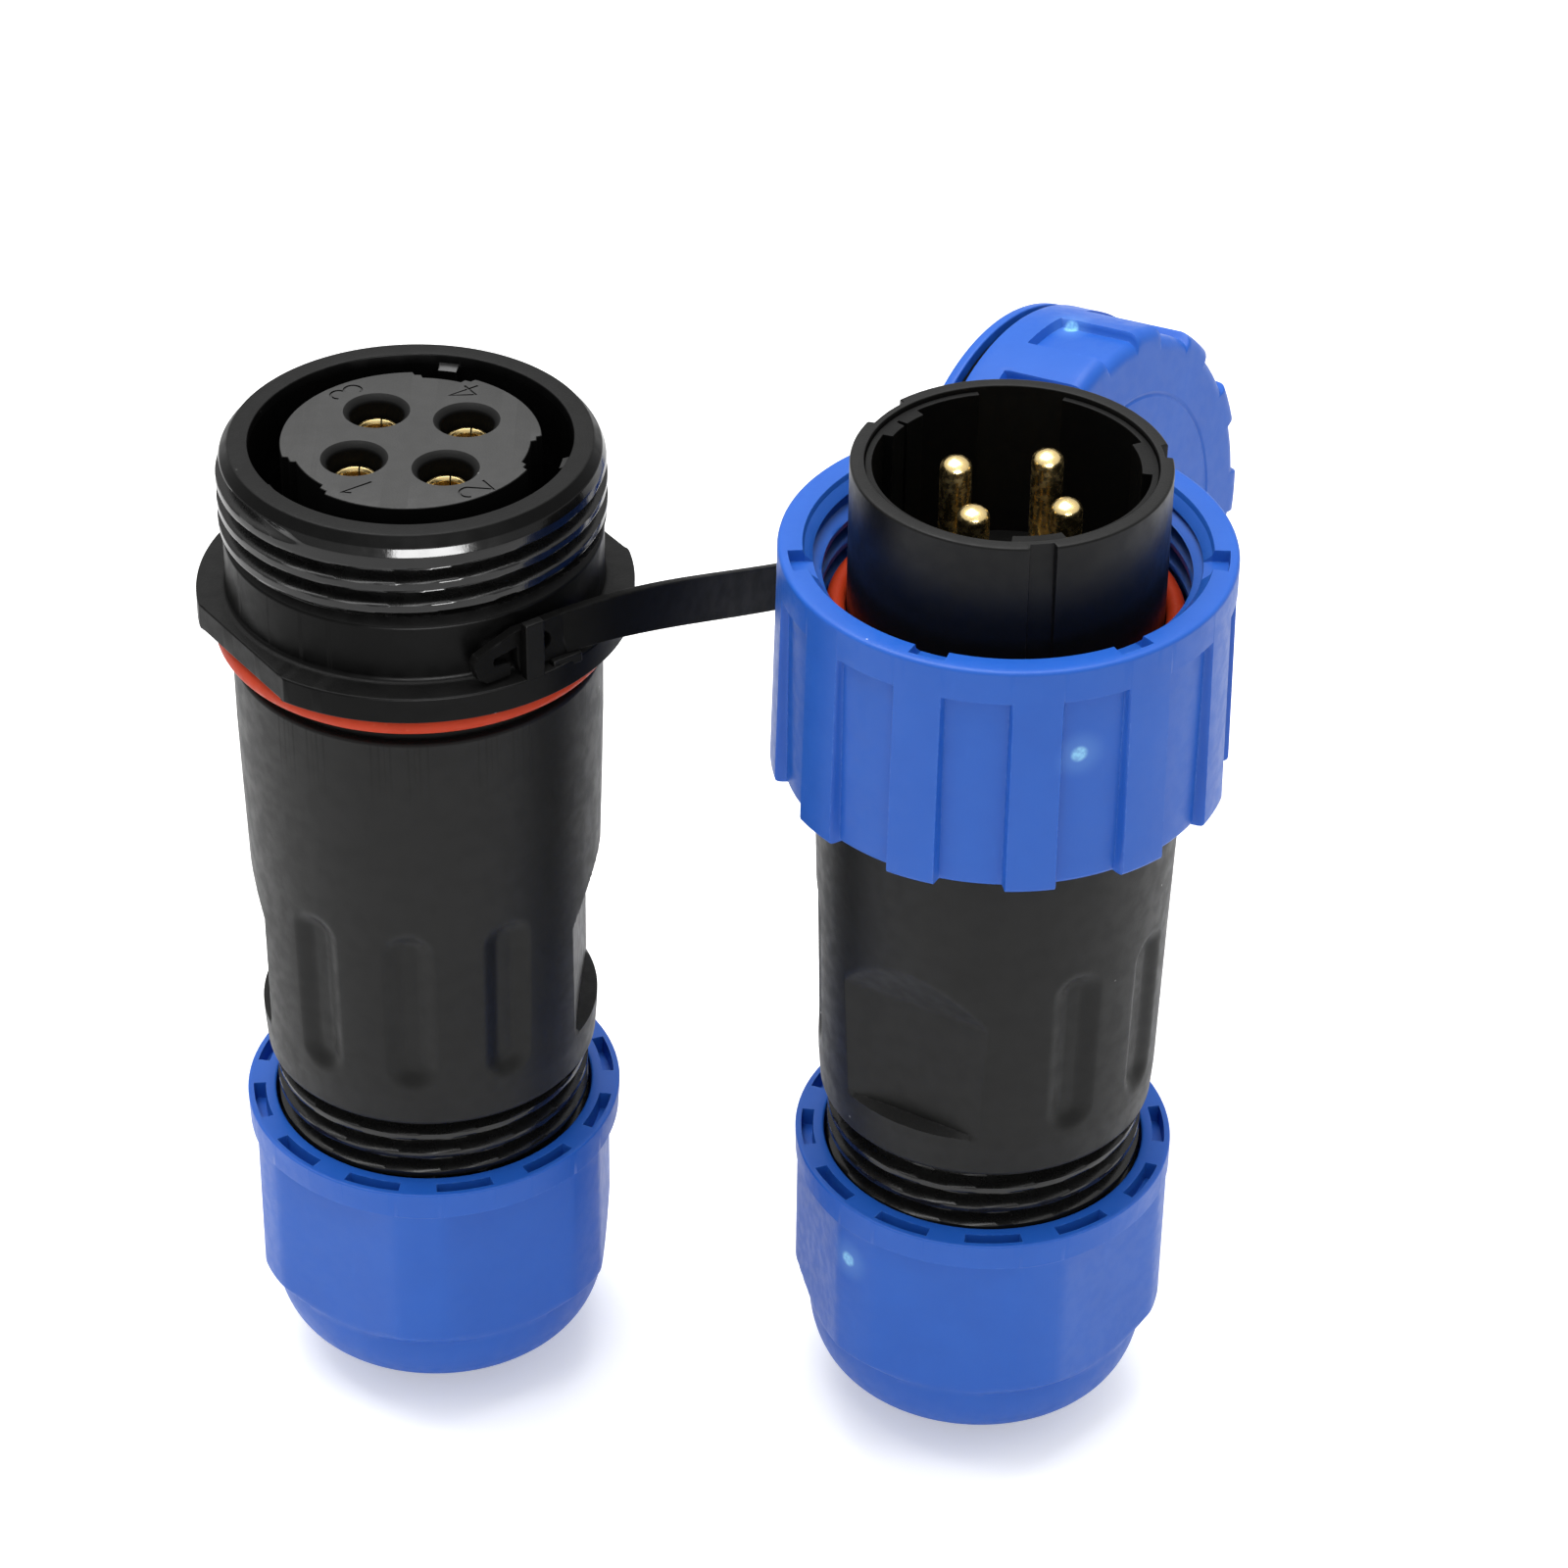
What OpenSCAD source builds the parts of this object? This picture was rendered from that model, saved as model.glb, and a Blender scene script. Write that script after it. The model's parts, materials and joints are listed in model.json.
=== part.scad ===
// Four-pole waterproof cable connector: an in-line socket, the in-line plug that mates with it, and the
// dust cap that a strap ties to the socket. Both halves stand upright on their gland nuts.
// The origin is on the socket's axis in the plane that both gland nuts stand on, +Z is up, and +X points
// to the plug's axis. Each half is drawn on its own axis with its front along +X, then turned into place,
// so the angles below are counted from the front of the pair, anticlockwise seen from above.

/* [Contacts] */
// Diameter of a contact pin
pin_d = 2.5; // [2.3:0.1:2.8]
// Side of the square on which the four contacts sit
contact_side = 7.35; // [7.0:0.05:7.6]
// How far the tip of a pin stays below the rim of the plug shell
pin_recess = 1.15; // [0.8:0.05:2]

/* [Coupling] */
// Outside diameter of the coupling thread on the socket
coupling_d = 31; // [30.8:0.1:31.1]
// Pitch of the coupling thread and of the gland thread
pitch = 2; // [1.8:0.1:2]
// Outside diameter of the plug shell, which slides into the socket
plug_shell_d = 25.3; // [25.1:0.1:25.4]
// Outside diameter of the coupling nut over its grip ribs
coupling_nut_d = 37.4; // [37:0.1:38.5]
// Number of grip ribs on the coupling nut and on the cap
grip_ribs = 12; // [8:1:14]

/* [Cable gland] */
// Diameter of the hole that the cable enters through
cable_hole_d = 13.2; // [12.6:0.1:13.4]
// Outside diameter of the gland thread on the body
gland_thread_d = 26.6; // [26.2:0.1:26.8]
// Distance across the flats of the gland nut
gland_flats = 29.4; // [29:0.1:30]
// Number of slots in the flange of the gland nut
gland_slots = 12; // [6:1:14]

/* [Placing] */
// Distance between the axes of the socket and the plug
axis_gap = 47.5; // [45:0.5:70]
// Height of the centre of the cap's closed face
cap_z = 57.3; // [55:0.1:60]
// Thickness of the strap
strap_t = 0.9; // [0.7:0.05:0.9]

/* [Hidden] */
$fn = 96;

front_az = 276.7;
eps = 0.01;
fit_gap = 0.05;

// Heights on the socket, from the gland nut's seat upwards
rim_z = 91.6;
socket_face_z = 91.4;
neck_top_z = 83.6;
flange_top_z = 78.5;
flange_z = 76.2;
cavity_z = 77.4;
web_z = 75.4;
collar_top_z = 73.5;
body_top_z = 72.4;
spigot_z = 64.5;
body_step_z = 63.5;
body_edge_z = 32.7;
gland_shoulder_z = 32;
gland_end_z = 19;
cup_end_z = 58;
boss_z = 66;

// Heights on the plug
plug_rim_z = 93.5;
plug_face_z = 79;
plug_floor_z = 79.9;
plug_flange_z = 76;
nut_top_z = 85.9;
nut_rim_z = 82.9;
nut_bottom_z = 65.4;
nut_lip_z = [73.2, 75.8];

// Radii
coupling_r = coupling_d / 2;
coupling_root_r = coupling_r - 1.2;
cavity_r = 12.85;
bore_r = 12;
spigot_r = 13.4;
socket_insert_r = 10.35;
flange_r = 17.6;
flange_flat_r = 16.35;
neck_r = 15.2;
body_r = 15;
body_low_r = 14.1;
plug_shell_r = plug_shell_d / 2;
plug_bore_r = 11.5;
plug_skirt_r = [10.9, 11.45];
nut_thread_r = 14.6;
thread_clear_r = 15.65;
seal_seat_r = 11;
contact_r = 1.8;
pin_r = pin_d / 2;
cable_r = cable_hole_d / 2;

// Angles of the keys, counted from the front
post_turn = 36.2;
socket_contact_turn = -9.5;
plug_contact_turn = 9.4;
socket_body_turn = -2;
plug_body_turn = 60;
rib_turns = [-53.6, 80.6, 170];
rib_widths = [17, 7.6, 7.6];
plug_key_turns = [-127, 98.8, 9.4];
plug_key_widths = [19.5, 9.2, 9.2];

// Cap and strap
cap_pos = [55.6, 49.5, cap_z];
cap_az = -28.6;
cap_el = 7.7;
cap_h = 14;
cap_r = 18;
ring_z = [-12.5, -11.1];
ring_r = [16.5, 17.6];
strap_w = 3.9;
strap_r = 16.2;
strap_z = 80.75;
strap_end_turn = 257.9;

// ---------- shared shapes ----------

module on_socket() {
    rotate([0, 0, front_az]) children();
}

module on_plug() {
    translate([axis_gap, 0, 0]) rotate([0, 0, front_az]) children();
}

// The cap's own frame has its closed face in the plane z = 0 and its open end below
module on_cap() {
    translate(cap_pos) rotate([0, 0, cap_az]) rotate([0, 90 - cap_el, 0]) children();
}

module tube(r_in, r_out, z0, z1) {
    rotate_extrude() translate([r_in, z0]) square([r_out - r_in, z1 - z0]);
}

module arc(r_in, r_out, z0, z1, middle, wide) {
    rotate([0, 0, middle - wide / 2])
        rotate_extrude(angle = wide) translate([r_in, z0]) square([r_out - r_in, z1 - z0]);
}

module o_ring(middle_r, section_d, z) {
    rotate_extrude() translate([middle_r, z]) circle(d = section_d, $fn = 32);
}

// Outline of thread crests, one below the other, for a profile that is drawn downwards
function crests(root_r, crest_r, z_first, count) = [
    for (i = [0 : count - 1], p = [[root_r, 0.85], [crest_r, 0.3], [crest_r, -0.3], [root_r, -0.85]])
        [p[0], z_first - i * pitch + p[1]]
];

function reversed(points) = [for (i = [len(points) - 1 : -1 : 0]) points[i]];

// Places its children at the four corners of the contact square
module at_contacts(turn) {
    rotate([0, 0, turn])
        for (x = [-0.5, 0.5], y = [-0.5, 0.5]) translate([x, y, 0] * contact_side) children();
}

// ---------- shared pieces ----------

// Body that holds the contacts' wires, with wrench flats, finger grooves and the gland thread
module cable_body() {
    flat_r = 12.8;
    groove_r = 13.8;
    groove_w = 4;
    groove_pitch = 33;
    crest_r = gland_thread_d / 2;
    root_r = crest_r - 1.2;
    color([0.06, 0.06, 0.065]) difference() {
        rotate_extrude() polygon(concat(
            [[spigot_r + fit_gap, body_top_z], [body_r - 0.3, body_top_z], [body_r, body_top_z - 0.3]],
            [[14.8, 60], [14.5, 50], [body_low_r, 35], [body_low_r - 0.2, 33.4], [13.3, body_edge_z]],
            [[root_r, body_edge_z]],
            crests(root_r, crest_r, 31.2, 6),
            [[root_r, gland_end_z], [seal_seat_r, gland_end_z], [seal_seat_r, gland_shoulder_z]],
            [[9, gland_shoulder_z], [9, 34], [seal_seat_r, 36], [seal_seat_r, 56], [12.5, 58]],
            [[12.5, body_step_z], [spigot_r + fit_gap, body_step_z]]
        ));
        for (side = [90, 270]) rotate([0, 0, side])
            rotate([90, 0, 0]) linear_extrude(height = 30, center = true)
                polygon([[flat_r, 37], [20, 37], [20, 53], [14.9, 53], [flat_r, 48.5]]);
        for (side = [0, 180], i = [-1 : 1]) rotate([0, 0, side + i * groove_pitch])
            translate([groove_r, 0, 0]) rotate([90, 0, 90]) linear_extrude(height = 3) {
                translate([-groove_w / 2, 39.4]) square([groove_w, 12.6]);
                for (z = [39.4, 52]) translate([0, z]) circle(d = groove_w, $fn = 32);
            }
    }
}

// Hexagonal nut with a slotted flange above and a domed nose below, bored for the cable
module gland_nut() {
    nut_r = 16;
    corner_r = 15.9;
    dome_r = 14.55;
    dome_z = 9.5;
    tip_r = 7.1;
    turn_in = [12, 5.4];
    top_z = 27.1;
    band_z = 24.6;
    mouth_r = gland_thread_d / 2 + 0.26;
    dome_steps = 10;
    color([0.1, 0.27, 0.72]) difference() {
        union() {
            tube(mouth_r - 1, nut_r, band_z, top_z);
            intersection() {
                translate([0, 0, dome_z])
                    cylinder(d = gland_flats / cos(30), h = band_z - dome_z + eps, $fn = 6);
                rotate_extrude() polygon([
                    [0, dome_z], [dome_r, dome_z], [corner_r, dome_z + 1.4], [corner_r, band_z + eps],
                    [0, band_z + eps]
                ]);
            }
            rotate_extrude() polygon(concat(
                [[0, 0], [tip_r, 0]],
                [for (i = [0 : dome_steps]) let (a = -70 + 70 * i / dome_steps)
                    [turn_in[0] + (dome_r - turn_in[0]) * cos(a), dome_z + turn_in[1] * sin(a)]],
                [[0, dome_z]]
            ));
        }
        rotate_extrude() polygon([
            [0, -eps], [cable_r, -eps], [cable_r, 1.4], [7.4, 2], [11.2, 8.5], [11.2, 12], [mouth_r, 12],
            [mouth_r, top_z + eps], [0, top_z + eps]
        ]);
        for (i = [0 : gland_slots - 1])
            arc(14.5, 15.45, top_z - 1.6, top_z + eps, i * 360 / gland_slots + 15, 17.6);
    }
}

// Ring with eight fingers, which the nut's cone bends onto the cable
module clamp_claw() {
    fingers = 8;
    color([0.8, 0.8, 0.78]) difference() {
        rotate_extrude() polygon([
            [8.2, 16.5], [10.6, 16.5], [10.6, 9], [7.7, 3.2], [6.8, 3.2], [7.6, 9], [8.2, 12]
        ]);
        for (i = [0 : fingers - 1]) rotate([0, 0, (i + 0.5) * 360 / fingers])
            translate([5, -0.5, 0]) cube([8, 1, 13]);
    }
}

// Rubber sleeve that the claw presses against the body's shoulder and onto the cable
module cable_seal() {
    top = gland_shoulder_z - fit_gap;
    color([0.16, 0.16, 0.17]) rotate_extrude() polygon([
        [7, top], [seal_seat_r - 0.4, top], [seal_seat_r - 0.1, top - 0.6], [seal_seat_r - 0.1, 20.6],
        [seal_seat_r - 0.5, 20], [7.4, 20], [6.6, 21], [6.6, 22], [7.1, 22.6], [7.1, 24.4], [6.6, 25],
        [6.6, 26], [7.1, 26.6], [7.1, 28.4], [6.6, 29], [6.6, 30]
    ]);
}

// Ring that holds an insert in its shell, with four slots for the assembly key
module lock_ring(r_in, r_out, z0, z1) {
    color([0.1, 0.1, 0.1]) difference() {
        tube(r_in, r_out, z0, z1);
        for (a = [0, 90]) rotate([0, 0, a]) translate([-15, -0.8, z0 - 1]) cube([30, 1.6, 2]);
    }
}

// Solder cup and collar that end both kinds of contact below the insert
module contact_tail() {
    rotate_extrude() polygon([
        [1.3, cup_end_z], [contact_r, cup_end_z], [contact_r, boss_z + 0.1], [2.2, boss_z + 0.1],
        [2.2, boss_z + 1.4], [0, boss_z + 1.4], [0, cup_end_z + 5], [1.3, cup_end_z + 5]
    ]);
}

module cup_opening() {
    translate([0, -2.5, cup_end_z - 1]) cube([5, 5, 4]);
}

// ---------- socket ----------

// Front shell: rim with the coupling thread, neck, flange with the strap's post, and the threaded spigot
module socket_shell() {
    post_w = 1.7;
    post_h = 4.95;
    post_r = 16.75;
    on_socket() color([0.05, 0.05, 0.055]) {
        difference() {
            rotate_extrude() polygon(concat(
                [[cavity_r, rim_z], [coupling_root_r + 0.1, rim_z], [coupling_r - 0.4, 90.7]],
                [[coupling_r, 90], [coupling_r, 89.4], [coupling_root_r, 88.85]],
                crests(coupling_root_r, coupling_r, 89.7 - pitch, 2),
                [[coupling_root_r, neck_top_z + 0.5], [neck_r, neck_top_z], [neck_r, flange_top_z]],
                [[flange_r, flange_top_z], [flange_r, flange_z], [14, flange_z], [14, collar_top_z]],
                [[14.4, collar_top_z], [14.4, body_top_z + fit_gap], [spigot_r, body_top_z + fit_gap]],
                [[spigot_r, spigot_z], [bore_r, spigot_z], [bore_r, web_z]],
                [[socket_insert_r + 0.1, web_z], [socket_insert_r + 0.1, cavity_z], [cavity_r, cavity_z]]
            ));
            for (a = [90, 270]) rotate([0, 0, post_turn + a])
                translate([flange_flat_r, -15, flange_z - 1]) cube([5, 30, 4]);
        }
        for (i = [0 : 2])
            arc(12.2, cavity_r + 0.2, cavity_z - 0.2, rim_z - 1.2, rib_turns[i], rib_widths[i]);
        rotate([0, 0, post_turn]) translate([post_r, -post_w / 2, flange_top_z - 0.2])
            cube([flange_r - post_r - 0.03, post_w, post_h + 0.2]);
    }
}

// Insulator with four lead-in holes and three keyways in its edge
module socket_insert() {
    notch_turns = [-55, 80, 168.5];
    notch_widths = [36, 28, 28];
    on_socket() color([0.09, 0.09, 0.095]) difference() {
        rotate_extrude() polygon([
            [0, boss_z], [9.5, boss_z], [9.5, 71.4], [bore_r - 0.1, 71.4], [bore_r - 0.1, 74.1],
            [10.6, 74.1], [10.6, web_z - fit_gap], [socket_insert_r, web_z - fit_gap],
            [socket_insert_r, socket_face_z - 0.3], [socket_insert_r - 0.3, socket_face_z],
            [0, socket_face_z]
        ]);
        for (i = [0 : 2])
            arc(9.5, 12, cavity_z + 1, rim_z, notch_turns[i], notch_widths[i]);
        at_contacts(socket_contact_turn) rotate_extrude() polygon([
            [0, boss_z - eps], [2.25, boss_z - eps], [2.25, boss_z + 1.5],
            [contact_r + 0.03, boss_z + 1.5], [contact_r + 0.03, 85], [2.15, 85],
            [2.15, socket_face_z - 0.45], [2.6, socket_face_z + eps], [0, socket_face_z + eps]
        ]);
    }
}

// Four gold-plated female contacts, slit at the front so that they spring onto the pins
module socket_contacts() {
    top_z = 89.4;
    slit = 0.4;
    slit_l = 7;
    on_socket() color([0.83, 0.65, 0.3]) at_contacts(socket_contact_turn) difference() {
        union() {
            contact_tail();
            rotate_extrude() polygon([
                [0, boss_z + 1.3], [contact_r, boss_z + 1.3], [contact_r, top_z - 0.2],
                [contact_r - 0.2, top_z], [pin_r + 0.2, top_z], [pin_r, top_z - 0.3],
                [pin_r, top_z - 13], [0, top_z - 13.6]
            ]);
        }
        cup_opening();
        for (a = [0, 90]) rotate([0, 0, a])
            translate([-3, -slit / 2, top_z - slit_l]) cube([6, slit, slit_l + 1]);
    }
}

module socket_insert_seal() {
    on_socket() color([0.75, 0.16, 0.08]) o_ring(11.3, 1.15, 74.73);
}

module socket_lock_ring() {
    on_socket() lock_ring(9.7, bore_r - fit_gap, 68, 71.35);
}

// O-ring under the flange, which seals the joint with the body
module socket_flange_seal() {
    on_socket() color([0.75, 0.16, 0.08]) o_ring(15.2, 2.2, 74.95);
}

module socket_body() {
    on_socket() rotate([0, 0, socket_body_turn]) cable_body();
}

module socket_cable_seal() {
    on_socket() cable_seal();
}

module socket_clamp_claw() {
    on_socket() clamp_claw();
}

module socket_gland_nut() {
    on_socket() rotate([0, 0, -1.5]) gland_nut();
}

// ---------- plug ----------

// Front shell: the sleeve with its outer keyways, the flange that the coupling nut pulls on, and the spigot
module plug_shell() {
    flange_r = 14.4;
    seal_seat_z = plug_face_z + 1.8;
    foot_r = plug_shell_r - 0.25;
    on_plug() color([0.05, 0.05, 0.055]) difference() {
        rotate_extrude() polygon([
            [plug_bore_r, plug_rim_z], [plug_shell_r - 0.25, plug_rim_z], [plug_shell_r, plug_rim_z - 0.25],
            [plug_shell_r, seal_seat_z], [foot_r, seal_seat_z], [foot_r, plug_face_z],
            [flange_r, plug_face_z], [flange_r, plug_flange_z],
            [spigot_r, plug_flange_z], [spigot_r, spigot_z], [bore_r, spigot_z], [bore_r, web_z],
            [10.2, web_z], [10.2, cavity_z], [plug_bore_r, cavity_z]
        ]);
        for (i = [0 : 2])
            arc(12, 14, seal_seat_z, plug_rim_z + 1, plug_key_turns[i], plug_key_widths[i]);
    }
}

// Insulating cup that carries the pins, with key ribs on the inside of its skirt
module plug_insert() {
    skirt_top_z = 93.1;
    gap_turn = 174.5;
    hump_turns = [-132.5, -119.5, 97.5, 9.4];
    hump_widths = [11, 11, 25, 22];
    on_plug() color([0.09, 0.09, 0.095]) difference() {
        union() {
            rotate_extrude() polygon([
                [0, boss_z], [10.1, boss_z], [10.1, cavity_z + fit_gap], [10.3, cavity_z + fit_gap],
                [10.3, 78.4], [plug_skirt_r[1], 78.4], [plug_skirt_r[1], skirt_top_z],
                [plug_skirt_r[0], skirt_top_z], [plug_skirt_r[0], plug_floor_z], [0, plug_floor_z]
            ]);
            for (i = [0 : 3])
                arc(10.1, plug_skirt_r[0] + 0.2, plug_floor_z - 0.2, skirt_top_z, hump_turns[i], hump_widths[i]);
        }
        arc(plug_skirt_r[0] - 0.3, 12, plug_floor_z, plug_rim_z, gap_turn, 35);
        at_contacts(plug_contact_turn) rotate_extrude() polygon([
            [0, boss_z - eps], [2.25, boss_z - eps], [2.25, boss_z + 1.5],
            [contact_r + 0.03, boss_z + 1.5], [contact_r + 0.03, plug_floor_z + eps],
            [0, plug_floor_z + eps]
        ]);
    }
}

// Four gold-plated pins with round tips
module plug_pins() {
    tip_z = plug_rim_z - pin_recess - pin_r;
    on_plug() color([0.83, 0.65, 0.3]) at_contacts(plug_contact_turn) difference() {
        union() {
            contact_tail();
            translate([0, 0, boss_z + 1.3]) cylinder(r = contact_r, h = plug_floor_z - boss_z - 1.3);
            cylinder(r = pin_r, h = tip_z);
            translate([0, 0, tip_z]) sphere(r = pin_r, $fn = 48);
        }
        cup_opening();
        translate([0, 0, cup_end_z - 1]) cylinder(r = pin_r + 0.05, h = 5);
        translate([0, 0, -1]) cylinder(r = 3, h = cup_end_z + 1);
    }
}

module plug_insert_seal() {
    on_plug() color([0.75, 0.16, 0.08]) o_ring(10.87, 0.9, 77.9);
}

module plug_lock_ring() {
    on_plug() lock_ring(10.15, bore_r - 0.2, 72.3, web_z - fit_gap);
}

// O-ring round the foot of the sleeve, which the socket's rim closes on
module plug_face_seal() {
    on_plug() color([0.75, 0.16, 0.08]) o_ring(13.4, 1.66, 79.86);
}

module plug_body_seal() {
    on_plug() color([0.75, 0.16, 0.08]) o_ring(12.95, 0.86, 64);
}

// Nut with a ribbed grip, an internal thread and a lip that turns behind the plug shell's flange
module coupling_nut() {
    panel_r = coupling_nut_d / 2 - 1;
    rim_r = coupling_nut_d / 2 - 0.5;
    rib_w = 13 * 12 / grip_ribs;
    notch_turns = [-80.5, -22.7, 33, 83.3, 140, 201];
    on_plug() color([0.1, 0.27, 0.72]) difference() {
        union() {
            rotate_extrude() polygon(concat(
                [[16.2, nut_top_z], [rim_r - 0.4, nut_top_z], [rim_r, nut_top_z - 0.4], [rim_r, nut_rim_z]],
                [[panel_r, nut_rim_z - 0.3], [panel_r, nut_bottom_z], [15.35, nut_bottom_z]],
                [[15.35, nut_lip_z[0]], [spigot_r + 0.08, nut_lip_z[0]], [spigot_r + 0.08, nut_lip_z[1]]],
                [[thread_clear_r, nut_lip_z[1]]],
                reversed(crests(thread_clear_r, nut_thread_r, 83.6, 3)),
                [[15.4, 84.8]]
            ));
            for (i = [0 : grip_ribs - 1]) rotate([0, 0, 6 + i * 360 / grip_ribs - rib_w / 2])
                rotate_extrude(angle = rib_w) polygon([
                    [panel_r - 0.5, nut_bottom_z], [coupling_nut_d / 2, nut_bottom_z],
                    [rim_r - 0.05, nut_rim_z + 0.3], [panel_r - 0.5, nut_rim_z + 0.3]
                ]);
        }
        for (a = notch_turns) arc(15.2, 17.4, nut_top_z - 1, nut_top_z + 1, a, 9.5);
    }
}

module plug_body() {
    on_plug() rotate([0, 0, plug_body_turn]) cable_body();
}

module plug_cable_seal() {
    on_plug() cable_seal();
}

module plug_clamp_claw() {
    on_plug() clamp_claw();
}

module plug_gland_nut() {
    on_plug() rotate([0, 0, 17]) gland_nut();
}

// ---------- cap and strap ----------

// Screw cap with a closed face, an internal thread and a groove that the strap's ring turns in
module cap_shell() {
    panel_r = cap_r - 0.8;
    rim_low_z = -ring_z[1] - 3;
    rib_w = 13 * 12 / grip_ribs;
    groove_r = ring_r[0] - 0.09;
    on_cap() color([0.1, 0.27, 0.72]) {
        rotate_extrude() polygon(concat(
            [[0, 0], [panel_r - 0.4, 0], [panel_r, -0.4], [panel_r, -rim_low_z], [cap_r, -rim_low_z - 0.3]],
            [[cap_r, ring_z[1] + 0.1], [groove_r, ring_z[1] + 0.1], [groove_r, ring_z[0] - 0.1]],
            [[17, ring_z[0] - 0.1], [17, -cap_h + 0.3], [16.7, -cap_h], [thread_clear_r, -cap_h]],
            reversed(crests(thread_clear_r, nut_thread_r, -5.6, 3)),
            [[thread_clear_r, -3], [0, -3]]
        ));
        for (i = [0 : grip_ribs - 1]) rotate([0, 0, (i + 0.5) * 360 / grip_ribs - rib_w / 2])
            rotate_extrude(angle = rib_w) polygon([
                [panel_r - 0.6, -rim_low_z - 0.2], [cap_r, -rim_low_z - 0.2], [cap_r, -0.5],
                [cap_r - 0.5, 0], [panel_r - 0.6, 0]
            ]);
    }
}

module cap_gasket() {
    on_cap() color([0.75, 0.16, 0.08]) translate([0, 0, -4.4]) cylinder(r = 15.5, h = 1.35);
}

// Strap in one piece: the barb held behind the post, the band, and the ring in the cap's groove.
// The band follows a cubic Bezier curve from the post to the edge of the ring.
cap_n = [cos(cap_el) * cos(cap_az), cos(cap_el) * sin(cap_az), sin(cap_el)];
cap_down = [sin(cap_el) * cos(cap_az), sin(cap_el) * sin(cap_az), -cos(cap_el)];
cap_side = [-sin(cap_az), cos(cap_az), 0];
end_dir = cos(strap_end_turn) * cap_down + sin(strap_end_turn) * cap_side;
post_az = front_az + post_turn;
lean = 17.4;
strap_from = [cos(post_az), sin(post_az), 0] * strap_r
    + [-sin(post_az), cos(post_az), 0] * 1.1 + [0, 0, strap_z];
strap_lead = strap_from + [cos(post_az + 90 - lean), sin(post_az + 90 - lean), 0] * 13.1 + [0, 0, 2.4];
strap_to = cap_pos + cap_n * (ring_z[0] + ring_z[1]) / 2 + end_dir * (ring_r[1] - 0.5);
strap_tail = strap_to + end_dir * 21.9 + cap_n * 0.6;

function unit(v) = v / norm(v);
function bezier(t) = pow(1 - t, 3) * strap_from + 3 * pow(1 - t, 2) * t * strap_lead
    + 3 * (1 - t) * t * t * strap_tail + t * t * t * strap_to;
function along(t) = unit(bezier(t + 0.001) - bezier(t - 0.001));
function across(t) = let (w = (1 - t) * [0, 0, 1] + t * cross(end_dir, cap_n), d = along(t))
    unit(w - (w * d) * d);
function section(t) = let (
        c = bezier(t),
        w = across(t) * (strap_w / 2 - 0.1),
        h = cross(along(t), across(t)) * (strap_t / 2 - 0.05)
    ) [c - w - h, c + w - h, c + w + h, c - w + h];

module band() {
    steps = 28;
    points = [for (i = [0 : steps], p = section(i / steps)) p];
    sides = [for (i = [0 : steps - 1], k = [0 : 3]) let (a = 4 * i + k, b = 4 * i + (k + 1) % 4)
        each [[a, a + 4, b], [b, a + 4, b + 4]]];
    last = 4 * steps;
    polyhedron(points = points, faces = concat(
        sides, [[0, 1, 2], [0, 2, 3], [last, last + 2, last + 1], [last, last + 3, last + 2]]
    ));
}

module tether() {
    tongue = strap_w / 2;
    color([0.05, 0.05, 0.055]) {
        on_socket() rotate([0, 0, post_turn]) translate([strap_r - strap_t / 2, 0, strap_z])
            rotate([90, 0, 90]) linear_extrude(height = strap_t) difference() {
                polygon([
                    [1.6, -tongue], [1.6, tongue], [-1.2, tongue], [-4.9, 0.5], [-5.1, 0],
                    [-4.5, -1.5], [-3.8, -tongue]
                ]);
                polygon([
                    [-1.1, 0.4], [-3.3, 0.1], [-3.3, -0.5], [-1.7, -0.75],
                    [-1.7, -tongue - 1], [-0.9, -tongue - 1], [-1.1, -0.8]
                ]);
            }
        band();
        on_cap() tube(ring_r[0], ring_r[1], ring_z[0], ring_z[1]);
    }
}

socket_shell();
socket_insert();
socket_contacts();
socket_insert_seal();
socket_lock_ring();
socket_flange_seal();
socket_body();
socket_cable_seal();
socket_clamp_claw();
socket_gland_nut();
plug_shell();
plug_insert();
plug_pins();
plug_insert_seal();
plug_lock_ring();
plug_face_seal();
plug_body_seal();
coupling_nut();
plug_body();
plug_cable_seal();
plug_clamp_claw();
plug_gland_nut();
cap_shell();
cap_gasket();
tether();
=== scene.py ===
import json
import math

import bmesh
import bpy
import numpy as np
from mathutils import Matrix, Vector


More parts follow.
